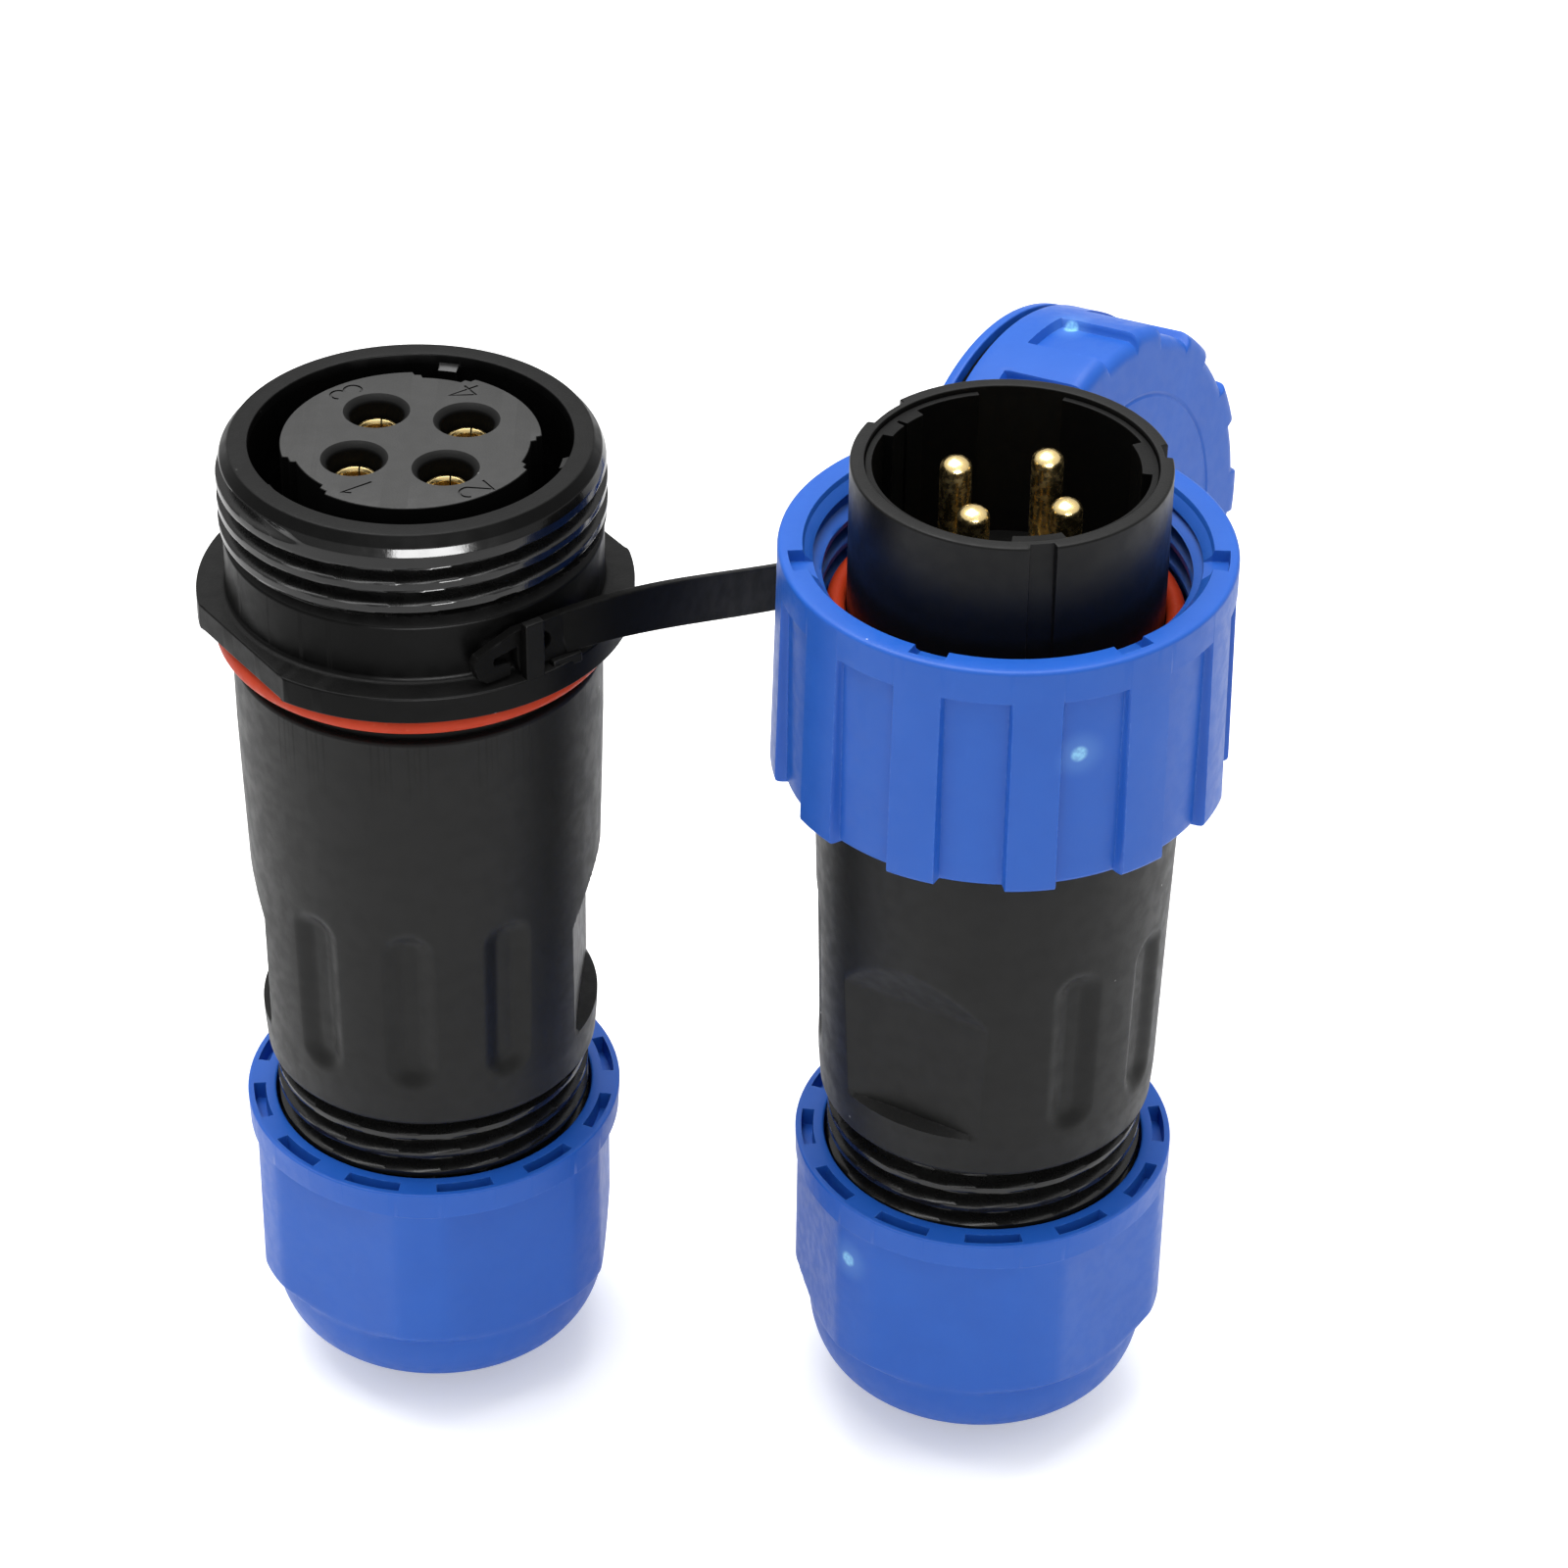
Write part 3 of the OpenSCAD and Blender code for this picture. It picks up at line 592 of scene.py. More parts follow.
def cable_body():
    """Body with a wrench flat on two sides, three finger grooves front and back and the gland thread."""
    grooves = [side + i * 33 for side in (0, 180) for i in (-1, 0, 1)]
    groove_wide, groove_deep, groove_mid, groove_half = 4.7, 0.72, 45.2, 6.0
    flat_r, flat_low, flat_high, lean_from, lean = 12.8, 37, 56, 48.6, 0.42
    outline = rounded([
        (13.45, 72.4), (15, 72.4, 0.3), (14.95, 66, 0), (14.8, 60, 8), (14.5, 50, 8), (14.15, 36, 6),
        (13.95, 33.2, 0.6), (13.35, 32.7, 0.3), (12.1, 32.5, 0.2), (12.1, 19), (11, 19), (11, 32), (9, 32),
        (9, 34), (11, 36), (11, 56), (12.5, 58), (12.5, 63.5), (13.45, 63.5),
    ])
    outline = divided(outline, 0.3, (13.5, 33.5, 15.2, 56.5))
    outline = divided(outline, 0.12, (12.05, 19.1, 12.15, 32.3))

    def shape(angle, r, z):
        outside = (r > 12.05) * (z > 33) * (z < 72.2)
        for side in (90, 270):
            away = turned_from(angle, side)
            flat = flat_r + lean * np.maximum(0, z - lean_from)
            flat = flat / np.cos(np.radians(np.clip(away, -60, 60)))
            on_flat = outside & (z > flat_low) & (z < flat_high) & (np.abs(away) < 60)
            r = np.where(on_flat & (flat < r), flat, r)
        for middle in grooves:
            across = np.radians(turned_from(angle, middle)) * 14.2
            beyond = np.maximum(0, np.abs(z - groove_mid) - groove_half)
            inside = 1 - ramp(np.hypot(across, beyond), groove_wide * 0.1, groove_wide / 2)
            r = np.where(outside, r - groove_deep * inside, r)
        thread = (r < 12.2) * (r > 12.0) * between(z, 19.3, 32.4, 0.5)
        return r + thread * 1.2 * crest(angle, z, 31.2), z

    edges = [(side + s * away, 2) for side in (90, 270) for s in (-1, 1) for away in (22, 27)]
    scoops = [(middle, wide) for middle in grooves for wide in (5, 9, 13, 17)]
    return turned(outline, shape, edges + sides(scoops, 1.2), 240)


def cable_seal():
    """Ribbed rubber sleeve round the cable."""
    ribs = [(6.6 if k % 4 < 2 else 7.1, 21 + k, 0.3) for k in range(10)]
    outline = rounded([
        *ribs, (7, 31.95), (10.6, 31.95), (10.9, 31.3), (10.9, 20.6), (10.5, 20), (7.4, 20),
    ])
    return turned(outline, count=96)


def contact_tail():
    """Solder cup and collar below the insert."""
    cup = [(0, 63), (1.3, 63), (1.3, 58), (1.8, 58), (1.8, 66.1), (2.2, 66.1), (2.2, 67.4), (0, 67.4)]
    return turned(rounded([(r, z, 0 if r == 0 else 0.08) for r, z in cup]), count=48)


def o_ring(middle_r, section_d, z):
    """Rubber ring of round section."""
    steps, section_r = 28, section_d / 2
    outline = []
    for k in range(steps):
        t = 2 * math.pi * (k + 0.5) / steps
        outline.append(Vector((middle_r + section_r * math.cos(t), z + section_r * math.sin(t))))
    return turned(outline, count=192)


# ---------- socket ----------

SOCKET_CONTACT_TURN = -9.5
POST_TURN = 36.2
FLANGE_TOP = 78.5
POST_TOP = 83.45


def socket_shell():
    """Rim with the coupling thread and key ribs, neck, flange with two flats and the strap's post."""
    ribs = [(-53.6, 17), (80.6, 7.6), (170, 7.6)]
    rim = top_of("socket_shell")
    bore_r, root_r, crest_r, neck_r, flange_r, flat_r = 12.85, 14.3, 15.5, 15.2, 17.6, 16.35
    thread_z, groove_z, run_out, rib_z, rib_deep = (84.8, 90.9), 88.45, (-60, -22), (77.6, 90.7), 0.75
    outline = rounded([
        (bore_r, rim, 0.12), (14.44, rim, 0.25), (15.12, 90.72, 0.3), (15.4, 90.1, 0.6),
        (crest_r, 89.2, 1.2), (crest_r, 84.7, 0.2), (root_r, 84.5, 0.2), (root_r, 84.1, 0.15),
        (neck_r, 83.5, 0.3), (neck_r, FLANGE_TOP, 0.5), (flange_r, FLANGE_TOP, 0.18),
        (flange_r, 76.2, 0.18), (14, 76.2, 0.1), (14, 73.5, 0.1), (14.4, 73.5, 0.1), (14.4, 72.46, 0.1),
        (13.38, 72.46, 0.1), (13.38, 64.5, 0.3), (12, 64.5, 0.3), (12, 75.4, 0.1), (10.46, 75.4, 0.1),
        (10.46, 77.4, 0.1), (bore_r, 77.4, 0.3), (bore_r, 90.55, 0), (bore_r, 90.7, 0), (bore_r, 90.85, 0),
    ])
    outline = divided(outline, 0.1, (14.5, 84.6, 15.6, 91.2))

    def shape(angle, r, z):
        turn = (z - groove_z) / PITCH - angle / 360
        lap = np.round(turn)
        groove = 1 - ramp(np.abs(turn - lap) * PITCH, 0.15, 0.72)
        groove = groove * np.where(lap > 1, 0, np.where(lap == 1, 1 - ramp(angle, *run_out), 1))
        groove = groove * between(z, *thread_z, 0.3)
        on_thread = (r > 14.4) & (z > 84.55)
        r = np.where(on_thread, np.minimum(r, crest_r - (crest_r - root_r) * groove), r)
        for side in (90, 270):
            away = turned_from(angle, POST_TURN + side)
            flat = flat_r / np.cos(np.radians(np.clip(away, -60, 60)))
            on_flange = (z > 76.1) & (z < 78.6) & (r > 16) & (np.abs(away) < 60)
            r = np.where(on_flange & (flat < r), flat - (flange_r - r) * (flat < 17.5), r)
        rib = sum(window(angle, middle, wide, 0.6) for middle, wide in ribs)
        r = r - rib_deep * rib * (np.abs(r - bore_r) < 0.05) * between(z, *rib_z, 0.16)
        return r, z

    flat_half = math.degrees(math.acos(flat_r / flange_r))
    edges = [(POST_TURN + side + s * flat_half, 1.5) for side in (90, 270) for s in (-1, 1)]
    shell = turned(outline, shape, sides(ribs, 0.6) + edges + [(angle, 2) for angle in run_out], 300)
    at_post = Matrix.Rotation(math.radians(POST_TURN), 4, "Z")
    post = block((16.75, -0.85, FLANGE_TOP - 1), (17.57, 0.85, POST_TOP), 0.12, at_post)
    ledge = block((16.3, 1.9, FLANGE_TOP - 0.5), (17.2, 4.6, FLANGE_TOP + 0.42), 0.15, at_post)
    return joined(shell, post, ledge)


def stroke(line, width):
    """Closed outline of a pen stroke of constant width along a line of points."""
    left, right = [], []
    for i, point in enumerate(line):
        here = Vector(point)
        before = (here - Vector(line[i - 1])).normalized() if i > 0 else None
        after = (Vector(line[i + 1]) - here).normalized() if i < len(line) - 1 else before
        before = before or after
        way = (before + after).normalized()
        normal = Vector((-way.y, way.x)) * width / 2 / max(0.5, way.dot(after))
        left.append(here + normal)
        right.append(here - normal)
    return left + right[::-1]


def bow(x, y, size, start, end, step=20):
    """Points on an arc round (x, y)."""
    count = round(abs(end - start) / step)
    turns = [math.radians(start + (end - start) * k / count) for k in range(count + 1)]
    return [(x + size * math.cos(t), y + size * math.sin(t)) for t in turns]


# Pen strokes of the figures in units of half their height, and their places (r, angle) on the insulator.
FIGURES = {
    "1": [[(-0.35, 0.55), (0, 0.95), (0, -0.95)]],
    "2": [bow(0, 0.4, 0.5, 165, -25) + [(-0.5, -0.9), (0.6, -0.9)]],
    "3": [bow(0, 0.45, 0.45, 150, -80), bow(0, -0.48, 0.5, 80, -150)],
    "4": [[(0.2, -0.95), (0.2, 0.95), (-0.55, -0.3)], [(-0.62, -0.32), (0.62, -0.32)]],
}
FIGURE_PLACES = {"1": (8.15, -27), "2": (9.25, 36.3), "3": (9.0, -140.6), "4": (8.25, 151.9)}


def digits(floor, top):
    """Cutters for the engraved figures, which all have their tops towards contact 1."""
    half_height, pen, upright_turn = 1.42, 0.2, -144.5
    cutters = []
    for figure, (away, turn) in FIGURE_PLACES.items():
        place = Matrix.Rotation(math.radians(turn), 4, "Z") @ Matrix.Translation((away, 0, 0))
        place = Matrix.Translation(place.translation) @ Matrix.Rotation(math.radians(upright_turn), 4, "Z")
        lines = [[(half_height * x, half_height * y) for x, y in line] for line in FIGURES[figure]]
        cutters += [plate([stroke(line, pen)], floor, top, 0, place) for line in lines]
    return cutters


def socket_insert():
    """Insulator: stepped keyways in its edge, four countersunk holes and engraved figures 1 to 4."""
    face = top_of("socket_insert")
    notches = [(-55, 36, 26), (80, 28, 20), (168.5, 28, 20)]

    def edge(angle):
        r = 10.35 + 0 * angle
        for middle, wide, deep in notches:
            r = r - 0.42 * window(angle, middle, wide, 0.5) - 0.43 * window(angle, middle, deep, 0.5)
        return r

    body = plate([polar_loop(edge, 720)], 75.4, face, 0.14)
    turn = Matrix.Rotation(math.radians(SOCKET_CONTACT_TURN), 4, "Z")
    drill = rounded([
        (0, 85, 0), (2.15, 85, 0.1), (2.15, face - 0.5, 0.35), (2.68, face, 0), (2.68, face + 1, 0),
        (0, face + 1, 0),
    ])
    holes = moved(four(lambda x, y: moved(turned(drill, count=64), Matrix.Translation((x, y, 0)))), turn)
    body = cut(body, [holes, *digits(91.27, 91.6)])
    foot = turned(rounded([
        (0, 66, 0), (9.5, 66), (9.5, 71.4), (11.9, 71.4), (11.9, 74.1), (10.6, 74.1), (10.6, 75.35),
        (0, 75.35, 0),
    ]))
    return joined(body, foot)


def socket_contacts():
    """Turned contacts whose mouths are slit into four springs."""
    mouth = top_of("socket_contacts") + 0.3
    slit_end, gap, bore_r, outer_r = mouth - 7, 6, 1.25, 1.8
    wall = [(bore_r, slit_end), (bore_r, mouth - 0.3), (1.42, mouth), (1.62, mouth),
            (outer_r, mouth - 0.2), (outer_r, slit_end)]
    outline = rounded([(r, z, 0.05) for r, z in wall])
    spans = [(start + gap / 2, start + 90 - gap / 2) for start in range(0, 360, 90)]

    def one(x, y):
        springs = [turned(outline, count=12, span=span) for span in spans]
        barrel = turned(rounded([
            (0, 66.1, 0), (outer_r, 66.1, 0.05), (outer_r, slit_end, 0.02),
            (bore_r, slit_end, 0.02), (bore_r, 76.5, 0.1), (0, 76, 0),
        ]), count=48)
        return moved(joined(contact_tail(), barrel, *springs), Matrix.Translation((x, y, 0)))

    return moved(four(one), Matrix.Rotation(math.radians(SOCKET_CONTACT_TURN), 4, "Z"))


# ---------- plug ----------

PLUG_CONTACT_TURN = 9.4
FLOOR = 79.9


def plug_shell():
    """Sleeve with three outer keyways, flange and spigot."""
    keys = [(-127, 19.5), (98.8, 9.2), (9.4, 9.2)]
    rim, foot, key_r = top_of("plug_shell"), 79, 12.0
    outline = rounded([
        (11.5, rim, 0.1), (12.65, rim, 0.22), (12.65, foot, 0.3), (14.4, foot), (14.4, 76), (13.4, 76),
        (13.4, 64.5, 0.3), (12, 64.5, 0.3), (12, 75.4), (10.25, 75.4), (10.25, 77.4), (11.5, 77.4),
    ])
    outline = divided(outline, 0.25, (12.6, 79.3, 12.7, 82))

    def shape(angle, r, z):
        key = sum(window(angle, middle, wide, 0.5) for middle, wide in keys)
        key = key * ramp(z, 80.75, 80.9)
        return np.where(r > key_r, r - np.maximum(0, r - key_r) * key, r), z

    return turned(outline, shape, sides(keys, 0.5), 216)


def plug_insert():
    """Insulating cup with key humps on its skirt."""
    humps = [(-132.5, 11), (-119.5, 11), (97.5, 25), (9.4, 22)]
    gap = (174.5, 35)
    skirt = (10.9, 11.45)
    top = top_of("plug_insert")
    outline = rounded([
        (0, FLOOR, 0), (10.0, FLOOR, 0), (10.9, FLOOR, 0.12), (10.9, top, 0.08), (11.45, top, 0.08),
        (11.45, 78.4, 0.1), (10.3, 78.4, 0.1), (10.3, 77.46, 0.1), (10.1, 77.46, 0.1), (10.1, 66, 0.2),
        (0, 66, 0),
    ])

    def shape(angle, r, z):
        hump = sum(window(angle, middle, wide, 0.5) for middle, wide in humps)
        inner = (r < 11.1) & (r > 10.7) & (z > FLOOR - 0.1)
        r = np.where(inner, r - 0.8 * hump * ramp(z, FLOOR - 0.01, FLOOR + 0.05), r)
        gone = window(angle, *gap, 0.4) * (z > FLOOR) * (r > 10)
        return r, z - (z - FLOOR) * gone

    return turned(outline, shape, sides(humps, 0.5) + sides([gap], 0.4), 180)


def plug_pins():
    """Solid pins with round tips."""
    tip = top_of("plug_pins") - 0.4
    pin_r, base_r, dome_z = 1.27, 1.8, 0.95
    turns = np.radians(range(0, 90, 9))
    dome = [(pin_r * math.cos(t), tip - dome_z + dome_z * math.sin(t), 0) for t in turns]
    outline = rounded([
        (0, 66.1, 0), (base_r, 66.1, 0.1), (base_r, FLOOR + 0.02, 0.1), (pin_r, FLOOR + 0.02, 0.1),
        *dome, (0, tip, 0),
    ])

    def one(x, y):
        return moved(joined(contact_tail(), turned(outline, count=48)), Matrix.Translation((x, y, 0)))

    return moved(four(one), Matrix.Rotation(math.radians(PLUG_CONTACT_TURN), 4, "Z"))


def coupling_nut():
    """Grip nut: twelve recessed panels, notched rim, internal thread and lip."""
    top, low, panel_top = top_of("coupling_nut"), 65.4, 82.9
    panels = [(-9 + 30 * k, 17) for k in range(12)]
    notches = [(turn, 9.5) for turn in (-80.5, -22.7, 33, 83.3, 140, 201)]
    rim_r, panel_r, rib_r, notch_deep = 18.2, 17.6, 18.55, 1
    outline = rounded([
        (15.3, 84.75, 0.1), (16.05, 85.45, 0.1), (16.2, top, 0.08), (17.33, top, 0), (17.43, top, 0),
        (rim_r, top, 0.7), (rim_r, panel_top + 0.12, 0), (rim_r, panel_top - 0.12, 0), (rim_r, low, 0.45),
        (15.4, low, 0.2), (15.4, 73.2), (13.5, 73.2), (13.5, 75.8), (15.65, 75.8), (15.65, 84.4, 0.1),
    ])
    outline = divided(outline, 1.2, (18.1, 65, 18.3, 83.2))
    outline = divided(outline, 0.12, (15.6, 76.5, 15.7, 84.5))

    def shape(angle, r, z):
        rib = 1 - sum(window(angle, middle, wide, 0.8) for middle, wide in panels)
        grown = panel_r + (rim_r + (rib_r - rim_r) * (panel_top - z) / (panel_top - low) - panel_r) * rib
        r = np.where((r > 16.5) & (z < panel_top), r + (grown - rim_r), r)
        cut_down = sum(window(angle, middle, wide, 0.4) for middle, wide in notches)
        deep = np.maximum(0, z - (top - notch_deep)) * (r < 17.38) * (r > 15.8)
        z = z - deep * cut_down
        wall = (np.abs(r - 15.65) < 0.03) * between(z, 78.6, 84.2, 0.5)
        return r - 1.05 * wall * crest(angle, z, 83.6), z

    return turned(outline, shape, sides(panels, 0.8) + sides(notches, 0.4), 240)


# ---------- cap and strap ----------

def cap_shell():
    """Cap with a closed face, twelve recessed panels that run out at the face, and the ring's groove."""
    panels = [(30 * k, 17) for k in range(12)]
    face_ring = 12.0
    outer, panel, band_low, depth = 18, 17.2, -8.1, 13.4
    groove_r, groove_z = 16.41, (-12.3, -11.3)
    outline = rounded([
        (0, 0.0, 0), (face_ring - 0.25, 0, 0.1), (face_ring, -0.12, 0.1), (face_ring + 0.25, 0, 0.1),
        (15.2, 0, 0), (outer, 0, 1.5), (outer, band_low + 0.12, 0), (outer, band_low - 0.12, 0),
        (outer, groove_z[1], 0.2), (groove_r, groove_z[1], 0.1), (groove_r, groove_z[0], 0.1),
        (17.85, groove_z[0], 0.15), (17.8, -depth, 0.4), (15.65, -depth, 0.2), (15.65, -3, 0.3), (0, -3, 0),
    ], steps=5)
    outline = divided(outline, 0.8, (17.9, -11, 18.1, 0))
    outline = divided(outline, 0.12, (15.6, -13.1, 15.7, -4))
    outline = divided(outline, 0.6, (15.2, -0.1, 17, 0.1))

    def shape(angle, r, z):
        rib = 1 - sum(window(angle, middle, wide, 0.9) for middle, wide in panels)
        side = (r > 15.2) & (z > band_low) & (z > -3 - (r > 17.5) * 20)
        r = np.where(side, r - (outer - panel) * (1 - rib) * ramp(r, 15.2, 17), r)
        wall = (np.abs(r - 15.65) < 0.03) * between(z, -12.8, -4.6, 0.5)
        return r - 1.05 * wall * crest(angle, z, -5.6), z

    return turned(outline, shape, sides(panels, 0.9), 240)


def strap_path():
    """Points of the band from the post to the ring, each with its directions across and up."""
    strap_r, strap_z, shift, lean = 16.2, 80.75, 3.2, math.radians(17.4)
    turn = math.radians(FRONT + POST_TURN)
    out = Vector((math.cos(turn), math.sin(turn), 0))
    along = Vector((-math.sin(turn), math.cos(turn), 0))
    start = out * strap_r + along * shift + Vector((0, 0, strap_z))
    lead = start + (along * math.cos(lean) + out * math.sin(lean)) * 11
    lead = lead + Vector((0, 0, 2.4))
    to_row = CAP.to_3x3()
    end_turn = math.radians(257.9)
    end_way = to_row @ Vector((math.cos(end_turn), math.sin(end_turn), 0))
    normal = to_row @ Vector((0, 0, 1))
    centre = CAP.translation / MM - normal * RING_DEPTH
    end = centre + end_way * 16.9
    tail = end + end_way * 21.9 + normal * 0.6
    count = 64
    rows = []
    for k in range(count + 1):
        t = k / count
        s = 1 - t
        point = s ** 3 * start + 3 * s * s * t * lead + 3 * s * t * t * tail + t ** 3 * end
        way = 3 * s * s * (lead - start) + 6 * s * t * (tail - lead) + 3 * t * t * (end - tail)
        way.normalize()
        across = s * Vector((0, 0, 1)) + t * end_way.cross(normal)
        across = (across - way * across.dot(way)).normalized()
        rows.append((point, across, way.cross(across)))
    return rows


def band():
    """Band with rounded edges swept along the strap's path."""
    width, thick, edge = 3.9, 0.9, 0.18
    corners = rounded([(-width / 2, -thick / 2), (width / 2, -thick / 2), (width / 2, thick / 2),
                       (-width / 2, thick / 2)], radius=edge)
    mesh = bmesh.new()
    rings = []
    for point, across, up in strap_path():
        rings.append([mesh.verts.new(point + across * c[0] + up * c[1]) for c in corners])
    for a, b in zip(rings, rings[1:]):
        for j in range(len(corners)):
            k = (j + 1) % len(corners)
            mesh.faces.new((a[j], a[k], b[k], b[j]))
    mesh.faces.new(rings[0])
    mesh.faces.new(rings[-1][::-1])
    return mesh


def tether():
    """One moulding: barb behind the post, band and the ring in the cap's groove, in the row frame."""
    thick = 0.9
    barb = [(3.6, -1.95), (3.6, 1.95), (-1.2, 1.95), (-4.75, 0.75), (-5.1, 0.1), (-4.7, -1.3),
            (-3.9, -1.95), (-1.75, -1.95), (-1.75, -0.75), (-3.2, -0.55), (-3.3, -0.2), (-3.2, 0.1),
            (-1.1, 0.45), (-1.1, -0.8), (-0.9, -1.95)]
    hole = [(1.25 + 0.75 * max(0, math.cos(t)), 0.1 + 0.85 * math.sin(t))
            for t in np.radians(range(-90, 91, 15))]
    lay = Matrix(((0, 0, 1, 0), (1, 0, 0, 0), (0, 1, 0, 0), (0, 0, 0, 1)))
    turn = Matrix.Rotation(math.radians(FRONT + POST_TURN), 4, "Z")
    anchor = plate([barb, hole], -thick / 2, thick / 2, 0.12,
                   turn @ Matrix.Translation((16.2, 0, 80.75)) @ lay)
    ring_r, ring_half = (16.5, 17.1), 0.46
    corners = [(ring_r[0], -1), (ring_r[1], -1), (ring_r[1], 1), (ring_r[0], 1)]
    ring = turned(rounded([(r, side * ring_half - RING_DEPTH) for r, side in corners], radius=0.2))
    to_row = Matrix.Scale(1 / MM, 4) @ CAP @ Matrix.Scale(MM, 4)
    return joined(anchor, band(), moved(ring, to_row))


# ---------- building the object ----------

def build():
    # Painted shade: the wall values darken walls against faces that look up, deepest on the socket
    # insulator's hole walls; cup_nylon is also darker in tone as painted shade for the cup that sits down in
    # the sleeve.
    black = black_nylon("black_nylon", rough=0.38, shade=0.6, shine=0.16, polished=(84.6, 90.75), wall=0.45)
    body_black = black_nylon("body_nylon", rough=0.45, shade=1.0, shine=0.19, polished=(19, 32.6))
    insert_black = black_nylon("insert_nylon", grain=1.2, shade=2.6, shine=0.5, wall=0.12)
    cup_black = black_nylon("cup_nylon", grain=1.2, shade=0.7, shine=0.15, wall=0.4)
    sleeve_black = black_nylon("sleeve_nylon", rough=0.38, shade=0.6, shine=0.25, wall=0.75)
    strap_black = black_nylon("strap_nylon", grain=0.5, rough=0.5, shade=0.5, shine=0.04)
    socket_blue = blue_nylon("gland_blue")
    # Painted highlights: each point below gets a small pale glint drawn into the blue finish of the plug's
    # gland nut, the coupling nut and the cap.
    plug_blue = blue_nylon("gland_blue_glinted", [on_surface(PLUG, 15.8, -45.8, 21.4)])
    nut_blue = blue_nylon("coupling_blue", [on_surface(PLUG, 17.7, 17.4, 77.6)])
    cap_blue = blue_nylon("cap_blue", [on_surface(CAP, 17.3, 172, -7.0)])
    red, metal = silicone("red_silicone"), gold("gold_plating")
    rubber, pale = soft_rubber("seal_rubber"), pale_nylon("claw_nylon")
    body_turn = {"socket": -2, "plug": 60}
    nut_turn = {"socket": -1.5, "plug": 17}

    def spin(place, degrees):
        return place @ Matrix.Rotation(math.radians(degrees), 4, "Z")

    piece("socket_front_shell", socket_shell(), SOCKET, "socket", black, ["socket_shell"])
    piece("socket_insulator", socket_insert(), SOCKET, "socket", insert_black,
          ["socket_insert"], crease=25)
    piece("socket_female_contacts", socket_contacts(), SOCKET, "socket", metal,
          ["socket_contacts"])
    piece("socket_flange_ring", o_ring(15.2, 2.2, 74.95), SOCKET, "socket", red,
          ["socket_flange_seal"])
    piece("plug_sleeve_shell", plug_shell(), PLUG, "plug", sleeve_black, ["plug_shell"])
    piece("plug_insulator", plug_insert(), PLUG, "plug", cup_black, ["plug_insert"])
    piece("plug_contact_pins", plug_pins(), PLUG, "plug", metal, ["plug_pins"])
    piece("plug_sleeve_ring", o_ring(13.5, 1.6, 79.86), PLUG, "plug", red,
          ["plug_face_seal"])
    piece("coupling_grip_nut", coupling_nut(), PLUG, "coupling", nut_blue, ["coupling_nut"])
    for half, place, blue in (("socket", SOCKET, socket_blue), ("plug", PLUG, plug_blue)):
        piece(half + "_cable_housing", cable_body(), spin(place, body_turn[half]), half, body_black,
              [half + "_body"])
        piece(half + "_gland_cap_nut", gland_nut(), spin(place, nut_turn[half]), half + "_nut", blue,
              [half + "_gland_nut"])
        seal = piece(half + "_gland_sleeve", cable_seal(), place, half, rubber,
                     [half + "_cable_seal"])
        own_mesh(seal)
    piece("dust_cap_shell", cap_shell(), CAP, "cap", cap_blue, ["cap_shell"])
    strap = piece("strap_moulding", tether(), Matrix.Identity(4), None, strap_black,
                  ["tether"])
    path = strap_path()
    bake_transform(strap)
    kept = {
        "socket_insert_seal": red, "socket_lock_ring": black, "socket_clamp_claw": pale,
        "plug_insert_seal": red, "plug_lock_ring": black, "plug_body_seal": red, "plug_clamp_claw": pale,
        "cap_gasket": red,
    }
    for node, finish in kept.items():
        data = frame["nodes"][node].data
        data.materials.clear()
        data.materials.append(finish)


# ---------- studio ----------

def table():
    """Pale table. It is brighter to the camera than to the object, so that it burns out to white."""
    f = Finish("table_white")
    paper = f.mix(f.noise(60, 2), (0.86, 0.86, 0.86, 1), (0.9, 0.9, 0.9, 1))
    seen = f.add("ShaderNodeLightPath").outputs["Is Camera Ray"]
    f.plug(f.shader, {
        "Base Color": paper, "Roughness": 0.75,
        "Emission Color": (1, 1, 0.97, 1), "Emission Strength": f.scaled(seen, 0, 1, 0.05, 0.36),
    })
    mesh = bmesh.new()
    bmesh.ops.create_grid(mesh, x_segments=1, y_segments=1, size=3)
    data = bpy.data.meshes.new("table")
    mesh.to_mesh(data)
    mesh.free()
    data.materials.append(f.material)
    floor = bpy.data.objects.new("table", data)
    floor.location = (0, 0, -0.00002)
    bpy.context.scene.collection.objects.link(floor)


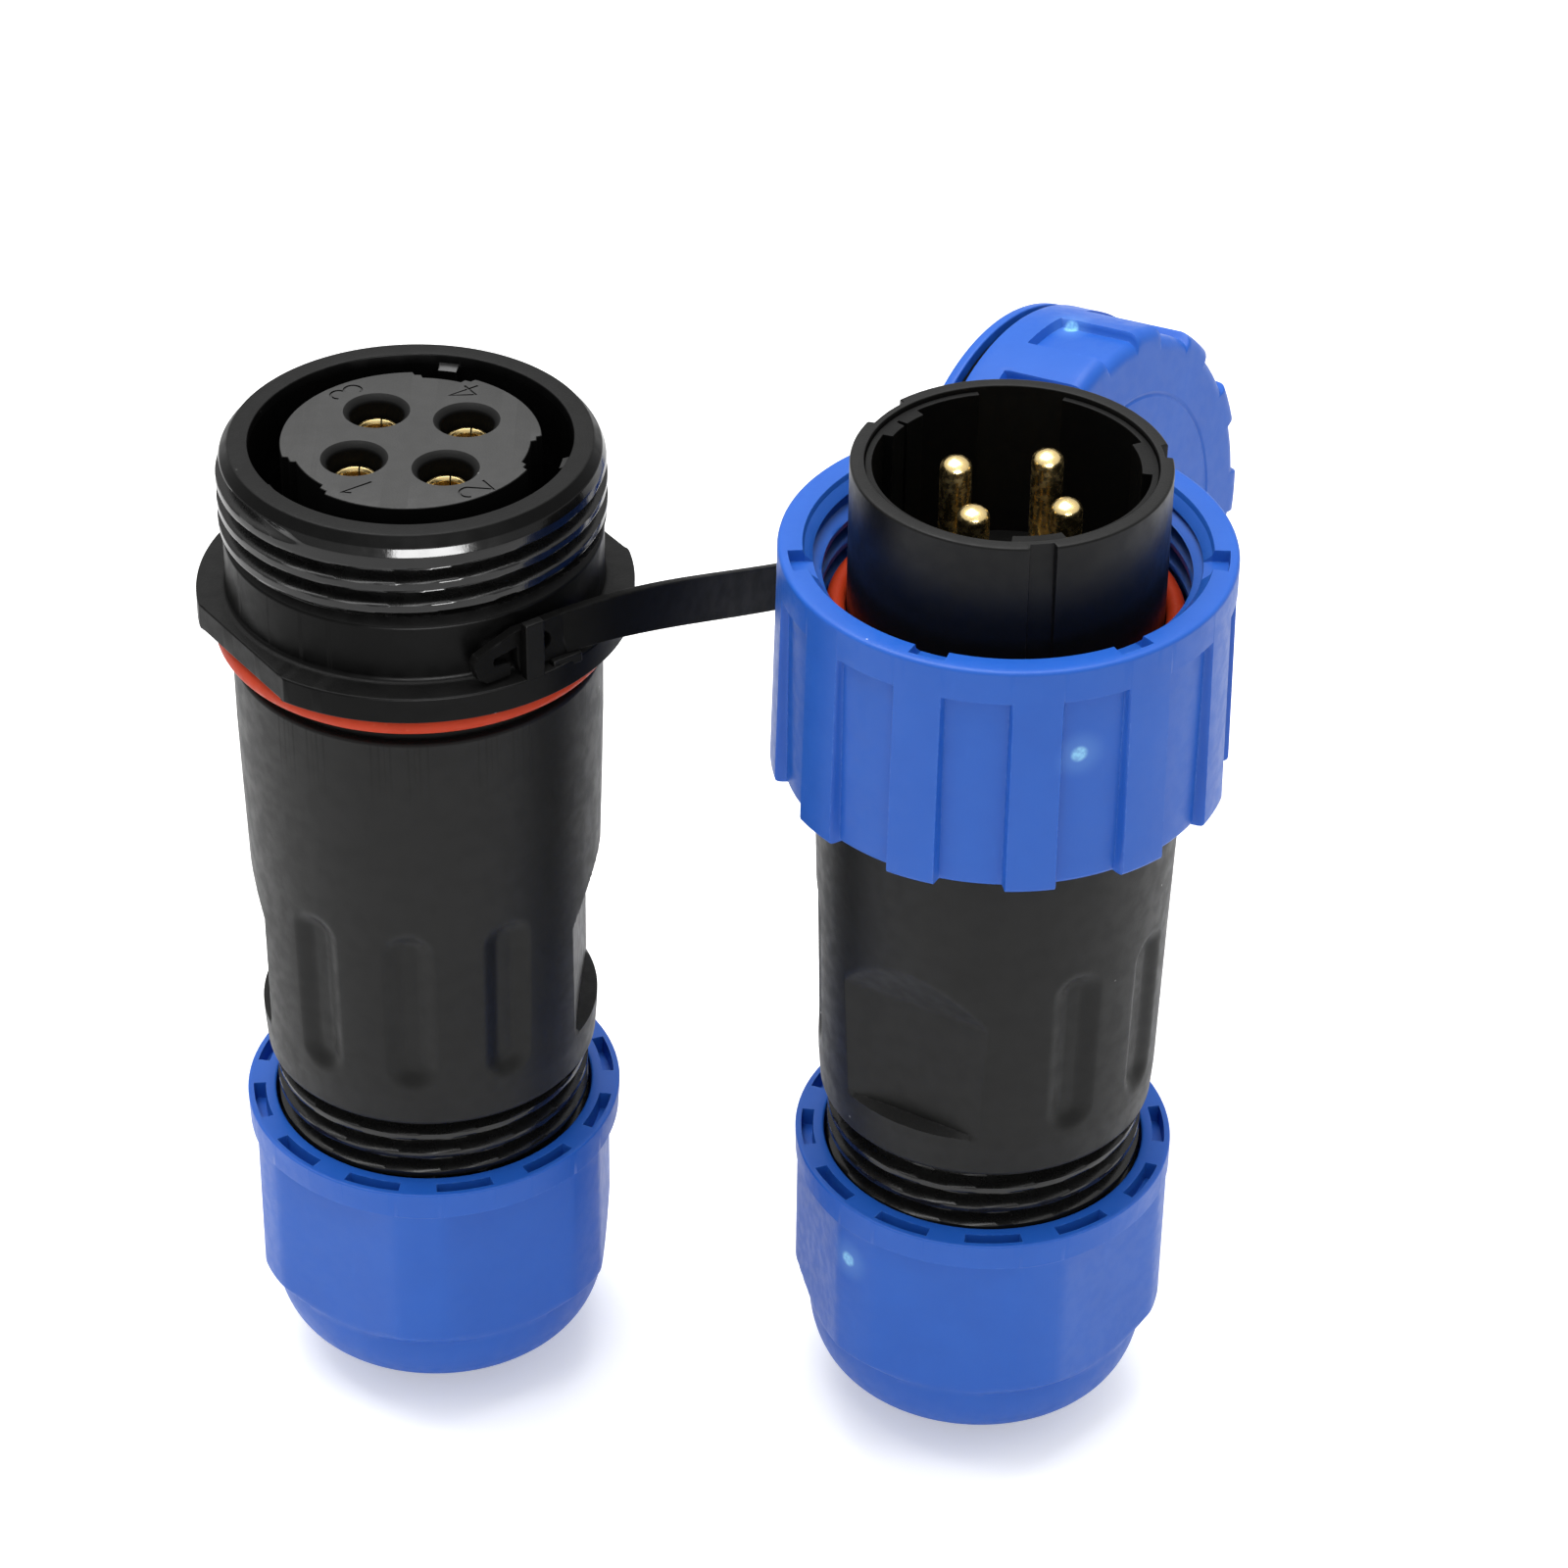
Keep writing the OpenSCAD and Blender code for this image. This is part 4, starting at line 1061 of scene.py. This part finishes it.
def sky():
    """White to the camera; to the object it is dimmer at the horizon than overhead."""
    world = bpy.data.worlds.new("studio")
    world.use_nodes = True
    tree = world.node_tree
    dome, white = tree.nodes["Background"], tree.nodes.new("ShaderNodeBackground")
    place, height = tree.nodes.new("ShaderNodeTexCoord"), tree.nodes.new("ShaderNodeSeparateXYZ")
    shade, either = tree.nodes.new("ShaderNodeMapRange"), tree.nodes.new("ShaderNodeMixShader")
    seen = tree.nodes.new("ShaderNodeLightPath").outputs["Is Camera Ray"]
    for background in (dome, white):
        background.inputs["Color"].default_value = (1, 1, 1, 1)
    for name, value in (("From Min", 0.0), ("From Max", 0.9), ("To Min", 0.42), ("To Max", 1.0)):
        shade.inputs[name].default_value = value
    for output, end in (
        (place.outputs["Generated"], height.inputs[0]),
        (height.outputs["Z"], shade.inputs["Value"]),
        (shade.outputs["Result"], dome.inputs["Strength"]),
        (seen, either.inputs[0]),
        (dome.outputs[0], either.inputs[1]),
        (white.outputs[0], either.inputs[2]),
        (either.outputs[0], tree.nodes["World Output"].inputs["Surface"]),
    ):
        tree.links.new(output, end)
    bpy.context.scene.world = world


def softbox(name, place, aim, size, watts):
    lamp = bpy.data.lights.new(name, "AREA")
    lamp.shape, lamp.size, lamp.size_y, lamp.energy = "RECTANGLE", size[0], size[1], watts
    holder = bpy.data.objects.new(name, lamp)
    holder.location = place
    holder.rotation_euler = (Vector(aim) - Vector(place)).to_track_quat("-Z", "Y").to_euler()
    bpy.context.scene.collection.objects.link(holder)
    return holder


def lights():
    """Soft light from above, and a panel that only glints on the coupling thread and on the pins."""
    softbox("overhead", (-0.1, 0.1, 0.9), (0.02, 0, 0.05), (0.8, 0.8), 9)
    panel = softbox("panel", (0.26, -0.735, 0.26), (0, 0, 0.09), (0.56, 0.30), 14)
    panel.visible_diffuse = False
    shiny = bpy.data.collections.new("shiny")
    for name in ("socket_front_shell", "plug_contact_pins"):
        shiny.objects.link(bpy.data.objects[name])
    panel.light_linking.receiver_collection = shiny


def camera():
    """Long lens that looks down on the front of both halves, turned slightly about its line of sight."""
    lens = bpy.data.cameras.new("camera")
    lens.lens, lens.sensor_width = 114.69, 36
    lens.clip_start, lens.clip_end = 0.01, 20
    eye = bpy.data.objects.new("camera", lens)
    place, look = (0.068785, -0.330993, 0.297325), Vector((-0.0949, 0.8102, -0.5784)).normalized()
    roll = math.radians(0.8226)
    level = look.cross(Vector((0, 0, 1))).normalized()
    above = level.cross(look)
    right = level * math.cos(roll) + above * math.sin(roll)
    up = above * math.cos(roll) - level * math.sin(roll)
    turn = Matrix((right, up, -look)).transposed().to_4x4()
    eye.matrix_world = Matrix.Translation(place) @ turn
    bpy.context.scene.collection.objects.link(eye)
    bpy.context.scene.camera = eye
    bpy.context.scene.view_settings.view_transform = "Standard"


build()
table()
sky()
lights()
camera()
